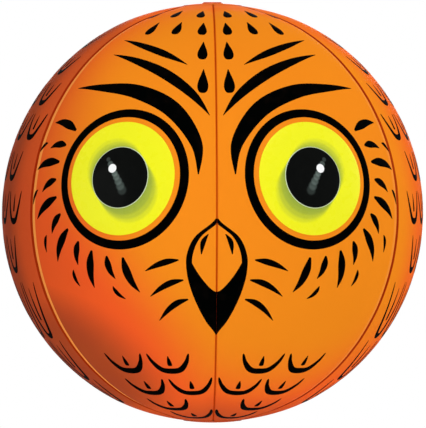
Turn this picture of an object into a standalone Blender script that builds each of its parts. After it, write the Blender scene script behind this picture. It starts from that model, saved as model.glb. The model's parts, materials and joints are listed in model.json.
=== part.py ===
"""Inflatable owl decoy, modelled at its real size as an assembly of separate pieces.

A hanging ball of six welded vinyl gores, patched at both poles. Two lens-film eyes are stuck on
the front gores, a folding hang tab with an eyelet stands on top, and a push-in air valve with a
check flap and a captive plug is welded into the bottom patch.

Metres, +Z up, origin at the ball's centre. The owl looks along -Y, and left and right are as
seen from in front of it.
"""

import math

import bmesh
import bpy
from mathutils import Matrix, Vector

# The ball, inflated
BALL_RADIUS = 0.305
VINYL_WALL = 0.0003
GORE_NAMES = (
    "gore_right",
    "gore_back_right",
    "gore_back_left",
    "gore_left",
    "gore_front_left",
    "gore_front_right",
)
FIN_DEPTH = 0.006
PILLOW_DEPTH = 0.0025
PILLOW_POWER = 4
VALLEY_DEPTH = 0.0016
VALLEY_WIDTH = 0.013
VALLEY_FADE = 0.05
POLE_DIP = 0.002
POLE_FADE = 0.11

# Clearance left between two pieces that are welded, stuck or resting on each other
SEAT_GAP = 0.0003

# The patches over the poles
PATCH_RADIUS = 0.042
PATCH_WALL = 0.0004
TOP_TIP_RADIUS = 0.006

# The eyes: a round film of fine lens ribs, with a domed pupil stuck on it
EYE_RADIUS = 0.081
EYE_FILM_WALL = 0.0004
PUPIL_RADIUS = 0.044
PUPIL_EDGE = 0.0004
PUPIL_DOME = 0.0008
EYE_BEARING = math.radians(27)
EYE_LIFT = math.radians(9.5)

# The hang tab, its foot and its eyelet
TAB_WIDTH = 0.026
TAB_WALL = 0.0007
TAB_CLEARANCE = 0.0015
TAB_BEAD_RADIUS = 0.0005
FOOT_WIDTH = 0.03
FOOT_LENGTH = 0.024
FOOT_WALL = 0.0004
FOOT_CORNER = 0.004
EYELET_BORE = 0.005
EYELET_WALL = 0.001
EYELET_RIM = 0.003
EYELET_RIM_WALL = 0.0004
EYELET_EDGE = 0.0002

# The air valve
VALVE_BORE = 0.003
STEM_WALL = 0.0015
STEM_LENGTH = 0.016
STEM_LEAD_IN = 0.0003
LIP_WIDTH = 0.0015
LIP_HEIGHT = 0.0014
EAR_THICKNESS = 0.0009
EAR_DROP = 0.0001
CAP_OVERHANG = 0.0005
CAP_THICKNESS = 0.0018
CAP_EDGE = 0.0004
SHANK_LENGTH = 0.0042
SHANK_TAPER = 0.0006
STRAP_LENGTH = 0.0025
STRAP_WIDTH = 0.005
STRAP_THICKNESS = 0.0009
STRAP_BEAD_RADIUS = 0.0006
STRAP_INSET = 0.0001
GRIP_LENGTH = 0.0035
RECESS_MARGIN = 0.006
FLANGE_WIDTH = 0.0075
FLANGE_WALL = 0.001
FLANGE_STEP = 0.0005
FLANGE_CLEARANCE = 0.002
BOOT_WALL = 0.0005
BOOT_DEPTH = 0.006
BOOT_SHARES = (0, 0.15, 0.5, 0.85, 1)
BOOT_RING_WIDTH = 0.0005
BOOT_RING_HEIGHT = 0.0016
FLAP_OVERLAP = 0.0014
FLAP_WALL = 0.0004
FLAP_HINGE_INSET = 0.0004

# Steps round and along the shapes
GORE_ROWS = 26
GORE_COLUMNS = 10
COLUMN_CROWDING_POWER = 1.5
EYE_STEPS = 40
EYE_RINGS = 4
PUPIL_STEPS = 36
PUPIL_RINGS = 3
PATCH_STEPS = 40
TOP_PATCH_RINGS = 3
BOTTOM_PATCH_RINGS = 2
FLANGE_RINGS = 1
VALVE_STEPS = 32
EYELET_STEPS = 32
BEAD_STEPS = 12
FOOT_STEPS = 6
CORNER_STEPS = 3
ROUND_PROFILE_SHARE = 0.5
MERGE_DISTANCE = 0.000005

# Levels over the ball's centre, and radii from the pole's axis, that several pieces share
POLE_RADIUS = BALL_RADIUS - POLE_DIP
PATCH_INSIDE = POLE_RADIUS + SEAT_GAP
PATCH_OUTSIDE = PATCH_INSIDE + PATCH_WALL
TUBE_RADIUS = VALVE_BORE + STEM_WALL
LIP_RADIUS = TUBE_RADIUS + LIP_WIDTH
CAP_RADIUS = LIP_RADIUS + CAP_OVERHANG
PLUG_REACH = CAP_RADIUS + STRAP_LENGTH
RECESS_RADIUS = PLUG_REACH + RECESS_MARGIN
FLANGE_INNER = RECESS_RADIUS - FLANGE_STEP
FLANGE_OUTER = FLANGE_INNER + FLANGE_WIDTH
BOTTOM_TIP_RADIUS = FLANGE_OUTER + FLANGE_CLEARANCE
BOOT_RING_RADIUS = TUBE_RADIUS + BOOT_RING_WIDTH
EYELET_BARREL = EYELET_BORE + EYELET_WALL
EYELET_RADIUS = EYELET_BARREL + EYELET_RIM
TAB_REACH = FOOT_LENGTH / 2 + TAB_CLEARANCE + EYELET_RADIUS
STEM_MOUTH = math.sqrt(PATCH_OUTSIDE**2 - RECESS_RADIUS**2) - CAP_THICKNESS - SEAT_GAP


def clear_scene():
    for obj in list(bpy.data.objects):
        bpy.data.objects.remove(obj, do_unlink=True)


def new_collection(name):
    collection = bpy.data.collections.new(name)
    bpy.context.scene.collection.children.link(collection)
    return collection


def new_material(name, colour, roughness, metallic=0.0):
    material = bpy.data.materials.new(name)
    material.use_nodes = True
    shader = material.node_tree.nodes["Principled BSDF"]
    shader.inputs["Base Color"].default_value = (*colour, 1.0)
    shader.inputs["Roughness"].default_value = roughness
    shader.inputs["Metallic"].default_value = metallic
    material.diffuse_color = (*colour, 1.0)
    return material


def new_object(name, mesh, material, parent=None, location=(0, 0, 0)):
    mesh.materials.append(material)
    obj = bpy.data.objects.new(name, mesh)
    PARTS.objects.link(obj)
    obj.parent = parent
    obj.location = location
    return obj


def new_empty(name, location=(0, 0, 0), rotation=(0, 0, 0), parent=None):
    empty = bpy.data.objects.new(name, None)
    PARTS.objects.link(empty)
    empty.parent = parent
    empty.location = location
    empty.rotation_euler = rotation
    return empty


def mesh_of(name, bm):
    mesh = bpy.data.meshes.new(name)
    bm.to_mesh(mesh)
    bm.free()
    return mesh


def turned(name, profile, steps, material, closed=True, parent=None, location=(0, 0, 0)):
    """A turned piece. The profile lies in +X and runs down its outer side."""
    bm = bmesh.new()
    points = [bm.verts.new((x, 0, z)) for x, z in profile]
    for first, second in zip(points, points[1:]):
        bm.edges.new((first, second))
    if closed:
        bm.edges.new((points[-1], points[0]))
    obj = new_object(name, mesh_of(name, bm), material, parent, location)
    screw = obj.modifiers.new("Turn", "SCREW")
    screw.angle = math.tau
    screw.steps = steps
    screw.render_steps = steps
    screw.use_merge_vertices = True
    screw.merge_threshold = MERGE_DISTANCE
    screw.use_smooth_shade = True
    return obj


def arc(radius, start, end, steps):
    """Points on a circle round the ball's centre, as (x, z), by angle from the axis."""
    angles = [start + (end - start) * step / steps for step in range(steps + 1)]
    return [(radius * math.sin(angle), radius * math.cos(angle)) for angle in angles]


def shell_profile(inside, outside, hole, edge, steps):
    """A piece of spherical shell between two radii, from a hole to an edge off the axis."""
    outer = arc(outside, math.asin(hole / outside), math.asin(edge / outside), steps)
    inner = arc(inside, math.asin(edge / inside), math.asin(hole / inside), steps)
    return outer + inner


def join_onto(obj, name, mesh, location):
    """Joins a helper shape to a piece, placed from the piece's own origin."""
    helper = bpy.data.objects.new(name, mesh)
    HELPERS.objects.link(helper)
    helper.parent = obj.parent
    helper.location = obj.location + Vector(location)
    helper.hide_render = True
    helper.display_type = "WIRE"
    boolean = obj.modifiers.new(name, "BOOLEAN")
    boolean.operation = "UNION"
    boolean.solver = "EXACT"
    boolean.object = helper


def box_mesh(name, size):
    bm = bmesh.new()
    bmesh.ops.create_cube(bm, matrix=Matrix.Diagonal((*size, 1)))
    return mesh_of(name, bm)


def bead_mesh(name, radius, length):
    """A round bead lying along X, the rounded root that a folding tongue turns on."""
    bm = bmesh.new()
    turn = Matrix.Rotation(math.radians(90), 4, "Y")
    bmesh.ops.create_cone(
        bm,
        cap_ends=True,
        segments=BEAD_STEPS,
        radius1=radius,
        radius2=radius,
        depth=length,
        matrix=turn,
    )
    return mesh_of(name, bm)


def smoothstep(value):
    share = min(max(value, 0), 1)
    return share * share * (3 - 2 * share)


def skin_radius(share, from_seam, colatitude):
    """The gore's outer face: round, pillowed between its seams, and dipped at a seam or a pole."""
    from_pole = BALL_RADIUS * min(colatitude, math.pi - colatitude)
    past_patch = from_pole - PATCH_RADIUS
    pillow = PILLOW_DEPTH * abs(share) ** PILLOW_POWER
    valley = VALLEY_DEPTH * math.exp(-((from_seam / VALLEY_WIDTH) ** 2))
    pole_dip = POLE_DIP * (1 - smoothstep(past_patch / POLE_FADE))
    return BALL_RADIUS - pole_dip - (pillow + valley) * smoothstep(past_patch / VALLEY_FADE)


def gore_mesh():
    """One gore centred on +X: a spun meridian, drawn to shape, with a weld fin down each side."""
    top = math.asin(TOP_TIP_RADIUS / BALL_RADIUS)
    bottom = math.pi - math.asin(BOTTOM_TIP_RADIUS / BALL_RADIUS)
    half_angle = math.pi / len(GORE_NAMES)
    bm = bmesh.new()
    meridian = [
        bm.verts.new((x, 0, z)) for x, z in arc(BALL_RADIUS, top, bottom, GORE_ROWS)
    ]
    for first, second in zip(meridian, meridian[1:]):
        bm.edges.new((first, second))
    bmesh.ops.rotate(bm, matrix=Matrix.Rotation(-half_angle, 3, "Z"), verts=bm.verts)
    bmesh.ops.spin(
        bm,
        geom=bm.verts[:] + bm.edges[:],
        axis=(0, 0, 1),
        angle=2 * half_angle,
        steps=GORE_COLUMNS,
    )
    at_seam = set()
    for vert in bm.verts:
        even = max(-1, min(1, math.atan2(vert.co.y, vert.co.x) / half_angle))
        share = math.copysign(1 - (1 - abs(even)) ** COLUMN_CROWDING_POWER, even)
        colatitude = math.acos(vert.co.z / BALL_RADIUS)
        from_axis = BALL_RADIUS * math.sin(colatitude)
        bearing = share * (half_angle - math.asin(SEAT_GAP / 2 / from_axis))
        from_seam = from_axis * half_angle * (1 - abs(share))
        radius = skin_radius(share, from_seam, colatitude)
        across = radius * math.sin(colatitude)
        vert.co = (
            across * math.cos(bearing),
            across * math.sin(bearing),
            radius * math.cos(colatitude),
        )
        if abs(even) > 1 - 1 / GORE_COLUMNS:
            at_seam.add(vert)
    seams = [edge for edge in bm.edges if at_seam.issuperset(edge.verts)]
    fins = bmesh.ops.extrude_edge_only(bm, edges=seams)["geom"]
    for vert in fins:
        if isinstance(vert, bmesh.types.BMVert):
            vert.co -= vert.co.normalized() * FIN_DEPTH
    bmesh.ops.recalc_face_normals(bm, faces=bm.faces)
    bm.faces.ensure_lookup_table()
    middle = max(bm.faces, key=lambda face: face.calc_center_median().x)
    if middle.normal.x < 0:
        bmesh.ops.reverse_faces(bm, faces=bm.faces)
    for face in bm.faces:
        face.smooth = True
    return mesh_of("gore", bm)


def make_gores(vinyl):
    mesh = gore_mesh()
    mesh.materials.append(vinyl)
    for index, name in enumerate(GORE_NAMES):
        gore = bpy.data.objects.new(name, mesh)
        PARTS.objects.link(gore)
        gore.rotation_euler.z = math.tau * index / len(GORE_NAMES)
        wall = gore.modifiers.new("Sheet", "SOLIDIFY")
        wall.thickness = VINYL_WALL
        wall.offset = -1
        wall.use_even_offset = True


def make_top_patch(vinyl):
    profile = shell_profile(PATCH_INSIDE, PATCH_OUTSIDE, 0, PATCH_RADIUS, TOP_PATCH_RINGS)
    turned("top_patch", profile, PATCH_STEPS, vinyl, closed=False)


def make_eye(side, bearing, film, gloss):
    """A lens film seated on a gore, and the domed pupil seated on the film."""
    across = Matrix.Rotation(bearing, 4, "Z") @ Matrix.Rotation(math.radians(90) - EYE_LIFT, 4, "X")
    eye_axis = new_empty("eye_axis_" + side, rotation=across.to_euler())
    inside = BALL_RADIUS + SEAT_GAP
    outside = inside + EYE_FILM_WALL
    turned(
        "eye_film_" + side,
        shell_profile(inside, outside, 0, EYE_RADIUS, EYE_RINGS),
        EYE_STEPS,
        film,
        closed=False,
        parent=eye_axis,
    )
    base = outside + SEAT_GAP
    rim = math.asin(PUPIL_RADIUS / base)
    dome = [
        (x, z + PUPIL_EDGE + PUPIL_DOME * (1 - (x / PUPIL_RADIUS) ** 2))
        for x, z in arc(base, 0, rim, PUPIL_RINGS)
    ]
    turned(
        "pupil_lens_" + side,
        dome + arc(base, rim, 0, PUPIL_RINGS),
        PUPIL_STEPS,
        gloss,
        closed=False,
        parent=eye_axis,
    )


def make_tab_foot(vinyl):
    """The foot of the hang tab, welded to the top patch."""
    underside = PATCH_OUTSIDE + SEAT_GAP
    bm = bmesh.new()
    bmesh.ops.create_grid(
        bm,
        x_segments=FOOT_STEPS,
        y_segments=FOOT_STEPS,
        size=FOOT_LENGTH / 2,
    )
    bmesh.ops.scale(bm, vec=(FOOT_WIDTH / FOOT_LENGTH, 1, 1), verts=bm.verts)
    corners = [vert for vert in bm.verts if len(vert.link_edges) == 2]
    bmesh.ops.bevel(
        bm,
        geom=corners,
        offset=FOOT_CORNER,
        offset_type="OFFSET",
        segments=CORNER_STEPS,
        profile=ROUND_PROFILE_SHARE,
        affect="VERTICES",
        clamp_overlap=True,
    )
    for vert in bm.verts:
        flat = vert.co.x**2 + vert.co.y**2
        vert.co.z = math.sqrt((underside + FOOT_WALL) ** 2 - flat)
    foot = new_object("hang_tab_foot", mesh_of("hang_tab_foot", bm), vinyl)
    wall = foot.modifiers.new("Sheet", "SOLIDIFY")
    wall.thickness = FOOT_WALL
    wall.offset = -1
    return underside + FOOT_WALL


def tab_mesh():
    """The tab lying flat: a strip from its fold with a round end, and a hole for the eyelet."""
    half_width = TAB_WIDTH / 2
    turns = [math.tau * step / EYELET_STEPS for step in range(EYELET_STEPS)]
    half_turns = [turn for turn in turns if turn <= math.pi]
    end = [
        (half_width * math.cos(turn), TAB_REACH + half_width * math.sin(turn))
        for turn in half_turns
    ]
    reach = EYELET_BARREL + SEAT_GAP
    hole = [(reach * math.cos(turn), TAB_REACH + reach * math.sin(turn)) for turn in turns]
    outline = bpy.data.curves.new("hang_tab", "CURVE")
    outline.dimensions = "2D"
    outline.fill_mode = "BOTH"
    outline.extrude = TAB_WALL / 2
    for points in ([(half_width, 0)] + end + [(-half_width, 0)], hole):
        line = outline.splines.new("POLY")
        line.points.add(len(points) - 1)
        line.use_cyclic_u = True
        for point, (x, y) in zip(line.points, points):
            point.co = (x, y, 0, 1)
    sheet = bpy.data.objects.new("hang_tab_outline", outline)
    HELPERS.objects.link(sheet)
    bpy.context.view_layer.update()
    graph = bpy.context.evaluated_depsgraph_get()
    bm = bmesh.new()
    bm.from_mesh(bpy.data.meshes.new_from_object(sheet.evaluated_get(graph)))
    bpy.data.objects.remove(sheet)
    bmesh.ops.remove_doubles(bm, verts=bm.verts, dist=MERGE_DISTANCE)
    return mesh_of("hang_tab", bm)


def make_hang_tab(vinyl, metal, foot_top):
    """The tab, lying back on the ball and folding about its bead, and its rolled eyelet."""
    fold = new_empty("tab_fold", location=(0, 0, foot_top + SEAT_GAP + TAB_BEAD_RADIUS))
    tab = new_object("hang_tab", tab_mesh(), vinyl, fold)
    join_onto(tab, "tab_bead", bead_mesh("tab_bead", TAB_BEAD_RADIUS, TAB_WIDTH), (0, 0, 0))
    groove = TAB_WALL / 2 + SEAT_GAP
    face = groove + EYELET_RIM_WALL
    turned(
        "tab_eyelet",
        [
            (EYELET_BORE, face - EYELET_EDGE),
            (EYELET_BORE + EYELET_EDGE, face),
            (EYELET_RADIUS - EYELET_EDGE, face),
            (EYELET_RADIUS, face - EYELET_EDGE),
            (EYELET_RADIUS, groove),
            (EYELET_BARREL, groove),
            (EYELET_BARREL, -groove),
            (EYELET_RADIUS, -groove),
            (EYELET_RADIUS, EYELET_EDGE - face),
            (EYELET_RADIUS - EYELET_EDGE, -face),
            (EYELET_BORE + EYELET_EDGE, -face),
            (EYELET_BORE, EYELET_EDGE - face),
        ],
        EYELET_STEPS,
        metal,
        parent=fold,
        location=(0, TAB_REACH, 0),
    )


def make_valve(vinyl, clear):
    """Everything round the bottom pole, drawn pointing up along the valve's axis."""
    axis = new_empty("valve_axis", rotation=(math.pi, 0, 0))
    profile = shell_profile(
        PATCH_INSIDE,
        PATCH_OUTSIDE,
        RECESS_RADIUS,
        PATCH_RADIUS,
        BOTTOM_PATCH_RINGS,
    )
    turned("bottom_patch", profile, PATCH_STEPS, vinyl, parent=axis)
    flange_outside = PATCH_INSIDE - SEAT_GAP
    flange_inside = flange_outside - FLANGE_WALL
    profile = shell_profile(
        flange_inside,
        flange_outside,
        FLANGE_INNER,
        FLANGE_OUTER,
        FLANGE_RINGS,
    )
    turned("valve_flange", profile, PATCH_STEPS, clear, parent=axis)
    make_boot(axis, clear, (flange_inside + flange_outside) / 2)
    make_stem(axis, clear)
    make_flap(axis, clear)
    make_plug(axis, clear)


def make_boot(axis, clear, flange_middle):
    """The soft cone between flange and stem. It turns inside out as the stem comes out."""
    outer = FLANGE_INNER - SEAT_GAP
    inner = BOOT_RING_RADIUS + SEAT_GAP
    flange_level = math.sqrt(flange_middle**2 - FLANGE_INNER**2)
    ring_level = STEM_MOUTH - BOOT_DEPTH
    rise = flange_level - ring_level
    line = [
        (inner + (outer - inner) * share, ring_level + rise * smoothstep(share))
        for share in BOOT_SHARES
    ]
    upper = [(x, z + BOOT_WALL / 2) for x, z in line]
    lower = [(x, z - BOOT_WALL / 2) for x, z in reversed(line)]
    turned("valve_boot", upper + lower, VALVE_STEPS, clear, parent=axis)


def make_stem(axis, clear):
    """The tube that the air goes through, with the lip that the plug shuts on."""
    ring_top = BOOT_RING_HEIGHT / 2 - BOOT_DEPTH
    ring_foot = -BOOT_RING_HEIGHT / 2 - BOOT_DEPTH
    stem = turned(
        "valve_stem",
        [
            (VALVE_BORE + STEM_LEAD_IN, 0),
            (LIP_RADIUS, 0),
            (LIP_RADIUS, -LIP_HEIGHT),
            (TUBE_RADIUS, -LIP_HEIGHT),
            (TUBE_RADIUS, ring_top),
            (BOOT_RING_RADIUS, ring_top),
            (BOOT_RING_RADIUS, ring_foot),
            (TUBE_RADIUS, ring_foot),
            (TUBE_RADIUS, -STEM_LENGTH),
            (VALVE_BORE, -STEM_LENGTH),
            (VALVE_BORE, -STEM_LEAD_IN),
        ],
        VALVE_STEPS,
        clear,
        parent=axis,
        location=(0, 0, STEM_MOUTH),
    )
    ear_tip = PLUG_REACH - STRAP_BEAD_RADIUS - SEAT_GAP
    ear_root = (TUBE_RADIUS + LIP_RADIUS) / 2
    ear = box_mesh("ear", (STRAP_WIDTH, ear_tip - ear_root, EAR_THICKNESS))
    middle = -(ear_tip + ear_root) / 2
    join_onto(stem, "ear", ear, (0, middle, -EAR_THICKNESS / 2 - EAR_DROP))


def make_flap(axis, clear):
    """The check flap: a disc cut straight at its hinge, shut over the stem's inner end."""
    radius = VALVE_BORE + FLAP_OVERLAP
    hinge = radius - FLAP_HINGE_INSET
    bm = bmesh.new()
    bmesh.ops.create_circle(bm, cap_ends=True, segments=VALVE_STEPS, radius=radius)
    bmesh.ops.bisect_plane(
        bm,
        geom=bm.verts[:] + bm.edges[:] + bm.faces[:],
        plane_co=(0, -hinge, 0),
        plane_no=(0, -1, 0),
        clear_outer=True,
    )
    raised = bmesh.ops.extrude_face_region(bm, geom=bm.faces[:])["geom"]
    lifted = [item for item in raised if isinstance(item, bmesh.types.BMVert)]
    bmesh.ops.translate(bm, vec=(0, 0, -FLAP_WALL), verts=lifted)
    bmesh.ops.translate(bm, vec=(0, hinge, 0), verts=bm.verts)
    bmesh.ops.recalc_face_normals(bm, faces=bm.faces)
    level = STEM_MOUTH - STEM_LENGTH - SEAT_GAP
    new_object("check_flap", mesh_of("check_flap", bm), clear, axis, (0, -hinge, level))


def make_plug(axis, clear):
    """The tapered plug, its pull tab, and the strap that it hinges on."""
    hinge = new_empty("plug_hinge", location=(0, -PLUG_REACH, STEM_MOUTH), parent=axis)
    shank = VALVE_BORE - SEAT_GAP
    cap_top = SEAT_GAP + CAP_THICKNESS
    plug = turned(
        "valve_plug",
        [
            (0, cap_top),
            (CAP_RADIUS - CAP_EDGE, cap_top),
            (CAP_RADIUS, cap_top - CAP_EDGE),
            (CAP_RADIUS, SEAT_GAP),
            (shank, SEAT_GAP),
            (shank - SHANK_TAPER, SEAT_GAP - SHANK_LENGTH),
            (0, SEAT_GAP - SHANK_LENGTH),
        ],
        VALVE_STEPS,
        clear,
        closed=False,
        parent=hinge,
        location=(0, PLUG_REACH, 0),
    )
    root = CAP_RADIUS - CAP_EDGE
    level = SEAT_GAP + STRAP_INSET + STRAP_THICKNESS / 2
    strap_length = PLUG_REACH - root
    strap = box_mesh("strap", (STRAP_WIDTH, strap_length, STRAP_THICKNESS))
    join_onto(plug, "strap", strap, (0, -root - strap_length / 2, level))
    bead = bead_mesh("strap_bead", STRAP_BEAD_RADIUS, STRAP_WIDTH - STRAP_INSET)
    join_onto(plug, "strap_bead", bead, (0, -PLUG_REACH, 0))
    grip = box_mesh("grip", (STRAP_WIDTH, GRIP_LENGTH, STRAP_THICKNESS))
    join_onto(plug, "grip", grip, (0, root + GRIP_LENGTH / 2, level))


def main():
    vinyl = new_material("orange_vinyl", (0.93, 0.27, 0.014), 0.38)
    film = new_material("yellow_lens_film", (0.83, 0.83, 0.02), 0.25)
    gloss = new_material("black_gloss", (0.004, 0.004, 0.005), 0.08)
    clear = new_material("milky_pvc", (0.78, 0.77, 0.72), 0.35)
    metal = new_material("nickel", (0.75, 0.73, 0.68), 0.28, 1.0)
    make_gores(vinyl)
    make_top_patch(vinyl)
    make_eye("left", -EYE_BEARING, film, gloss)
    make_eye("right", EYE_BEARING, film, gloss)
    foot_top = make_tab_foot(vinyl)
    make_hang_tab(vinyl, metal, foot_top)
    make_valve(vinyl, clear)


clear_scene()
PARTS = new_collection("inflatable_owl_decoy")
HELPERS = new_collection("joined_shapes")
main()
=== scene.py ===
# %% [markdown]
# # An inflatable owl decoy
#
# This is a hanging ball of thin vinyl, 610 mm across, printed with a staring owl to keep birds
# off a garden. Six gores are welded edge to edge like the peel of an orange, two lens films make
# eyes that seem to follow a bird about, a tab on top takes a cord, and a push-in valve at the
# bottom lets the air in. The measured model comes first, as a fixed frame, and everything below
# is dressed onto it in metres, with the ball's centre at the origin and the face looking
# along -Y.

import json
import math

import bmesh
import bpy
from mathutils import Matrix, Vector, noise


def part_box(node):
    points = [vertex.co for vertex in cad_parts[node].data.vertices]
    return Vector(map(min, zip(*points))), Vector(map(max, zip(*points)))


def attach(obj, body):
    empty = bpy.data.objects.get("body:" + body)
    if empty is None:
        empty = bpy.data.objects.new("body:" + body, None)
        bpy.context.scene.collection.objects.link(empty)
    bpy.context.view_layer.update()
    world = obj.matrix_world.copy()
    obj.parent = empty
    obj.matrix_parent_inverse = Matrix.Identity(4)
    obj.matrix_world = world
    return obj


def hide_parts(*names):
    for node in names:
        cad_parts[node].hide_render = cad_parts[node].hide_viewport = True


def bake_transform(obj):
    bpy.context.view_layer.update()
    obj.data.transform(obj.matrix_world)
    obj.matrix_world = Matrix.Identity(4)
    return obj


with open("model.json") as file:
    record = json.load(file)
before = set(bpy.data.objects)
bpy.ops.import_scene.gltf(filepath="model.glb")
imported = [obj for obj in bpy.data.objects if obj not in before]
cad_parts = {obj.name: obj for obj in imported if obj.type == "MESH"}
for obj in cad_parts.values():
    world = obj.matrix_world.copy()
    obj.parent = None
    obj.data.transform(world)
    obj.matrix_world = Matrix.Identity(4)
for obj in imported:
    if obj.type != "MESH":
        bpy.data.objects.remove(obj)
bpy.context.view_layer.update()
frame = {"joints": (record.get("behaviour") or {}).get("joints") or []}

# %% [markdown]
# ## Sizes that the soft pieces share
#
# The frame's solids are plain, and the fine pieces have the same sizes as they have. What a box
# round a solid gives, or the place of a hinge, is read from the frame, so it follows a change
# there. The ball is faceted and the eyes lie askew, and no box gives their true sizes, so those
# are written once here, in metres. The poles are pulled in by 2 mm, because the welded patches
# there stretch less than the sheet does.

# %% Name the shared sizes
def half_size(node):
    """Half the size of one of the frame's solids along each axis."""
    low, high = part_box(node)
    return (high - low) / 2


def middle(node):
    """The middle of one of the frame's solids."""
    low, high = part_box(node)
    return (low + high) / 2


hinges = {joint["name"]: joint["pos_m"] for joint in frame["joints"] if joint["type"] == "hinge"}
BALL_RADIUS = 0.305
POLE_DIP = 0.002
POLE_FADE = 0.11
POLE_RADIUS = BALL_RADIUS - POLE_DIP
PATCH_RADIUS = half_size("top_patch").x
PILLOW_DEPTH = 0.0025
PILLOW_POWER = 4
VALLEY_DEPTH = 0.0016
VALLEY_WIDTH = 0.013
VALLEY_FADE = 0.05
GORES = 6
HALF_GORE = math.pi / GORES
SHEET = 0.0003
INK_WALL = 0.00005
EYE_BEARING = 27
EYE_LIFT = 9.5
EYE_RADIUS = 0.081
PUPIL_RADIUS = 0.044
# The tab folds at this height over the ball's centre, and its eyelet lies so far behind the fold.
FOLD_LEVEL = hinges["tab_fold"][2]
TAB_REACH = middle("tab_eyelet").y
SIDES = ((-1, "left"), (1, "right"))
UP = Vector((0, 0, 1))
print("ball", 2 * BALL_RADIUS, "m across,", GORES, "gores")

# %% [markdown]
# ## The shape of the skin
#
# Air pushes each gore out into a shallow pillow, and the weld holds its two edges in. So a seam
# lies in a small valley, its last few millimetres turn sharply down into the weld, and the spare
# length beside the weld gathers in faint puckers. This could be sculpted, but a function of the
# direction from the ball's centre does it evenly all round, and the printed ink and the stuck-on
# films can ask the same function where the surface is.

# %% Describe the skin as a radius for each direction
CREASE_WIDTH = 0.0032
CREASE_DEPTH = 0.0022
PUCKER_DEPTH = 0.0003
PUCKER_PITCH = 0.017
PUCKER_REACH = 0.016
# Where the puckers are read in the noise: how far one seam lies from the next, and at what level.
SEAM_STRIDE = 7.3
SEAM_LEVEL = 0.5


def ease(value):
    """Value from 0 to 1, with a soft start and end."""
    share = min(max(value, 0), 1)
    return share * share * (3 - 2 * share)


def skin_radius(direction):
    """Distance from the ball's centre to the outer face of the vinyl in a unit direction."""
    ring = BALL_RADIUS * math.hypot(direction.x, direction.y)
    turn = math.atan2(direction.y, direction.x)
    off_middle = abs((turn + HALF_GORE) % (2 * HALF_GORE) - HALF_GORE)
    from_seam = ring * (HALF_GORE - off_middle)
    from_pole = BALL_RADIUS * math.atan2(ring / BALL_RADIUS, abs(direction.z))
    past_patch = from_pole - PATCH_RADIUS
    pillow = PILLOW_DEPTH * (off_middle / HALF_GORE) ** PILLOW_POWER
    valley = VALLEY_DEPTH * math.exp(-((from_seam / VALLEY_WIDTH) ** 2))
    seam = round((turn - HALF_GORE) / (2 * HALF_GORE))
    up_seam = BALL_RADIUS * math.asin(max(-1, min(1, direction.z))) / PUCKER_PITCH
    gather = noise.noise(Vector((up_seam, SEAM_STRIDE * seam, SEAM_LEVEL)))
    pucker = PUCKER_DEPTH * gather * math.exp(-from_seam / PUCKER_REACH)
    dip = POLE_DIP * (1 - ease(past_patch / POLE_FADE))
    sink = (pillow + valley + pucker) * ease(past_patch / VALLEY_FADE)
    turned_down = max(0, 1 - from_seam / CREASE_WIDTH)
    crease = CREASE_DEPTH * (1 - math.sqrt(1 - turned_down**2))
    return BALL_RADIUS - dip - sink - crease


def facing(bearing, latitude):
    """Unit direction: bearing in degrees from the face towards +X, latitude above the equator."""
    turn, rise = math.radians(bearing), math.radians(latitude)
    return Vector(
        (math.sin(turn) * math.cos(rise), -math.cos(turn) * math.cos(rise), math.sin(rise))
    )


print("skin at the face's seam", round(skin_radius(facing(0, 0)) * 1000, 2), "mm from the centre")

# %% [markdown]
# ## Helpers for making a piece
#
# Each piece is drawn in a bmesh, turned into a mesh object at the origin, given its finish, and
# told which body carries it and which plain solid it stands for. Doing that in one place keeps
# the cells short and makes it hard to forget a step.

# %% Turn a bmesh into a finished piece
MERGE_DISTANCE = 1e-6
CRISP_ANGLE = math.radians(40)


def make_object(name, bm, finish):
    """Turns a bmesh into an object of the scene."""
    mesh = bpy.data.meshes.new(name)
    bm.to_mesh(mesh)
    bm.free()
    mesh.materials.append(finish.material)
    made = bpy.data.objects.new(name, mesh)
    bpy.context.scene.collection.objects.link(made)
    return made


def make_piece(name, bm, finish, body, *nodes, wall=None):
    """A smooth piece that stands for some nodes. A wall is its thickness, and 1 to grow outwards,
    -1 inwards or 0 both ways. A piece with no body is left unattached here."""
    bmesh.ops.remove_doubles(bm, verts=bm.verts, dist=MERGE_DISTANCE)
    piece = make_object(name, bm, finish)
    piece.data.shade_smooth()
    piece.data.set_sharp_from_angle(angle=CRISP_ANGLE)
    if wall:
        sheet = piece.modifiers.new("Wall", "SOLIDIFY")
        sheet.thickness, sheet.offset = wall
        sheet.use_even_offset = wall[0] > INK_WALL
    if body:
        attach(piece, body)
    for node in nodes:
        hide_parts(node)
    print(name, len(piece.data.polygons), "faces")
    return piece


def face_outwards(bm):
    """Turns each face of an open sheet on the ball to look away from the ball's centre."""
    bm.normal_update()
    inward = [face for face in bm.faces if face.normal.dot(face.calc_center_median()) < 0]
    bmesh.ops.reverse_faces(bm, faces=inward)


print("corners sharper than", round(math.degrees(CRISP_ANGLE)), "degrees stay crisp")

# %% [markdown]
# ## Helpers for a finish
#
# A finish is a Principled shader with a few nodes in front of it. The nodes could be placed and
# wired one by one in the editor, but a recipe of short calls says what each is for, and the room
# round the ball can be wired with the same calls.

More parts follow.
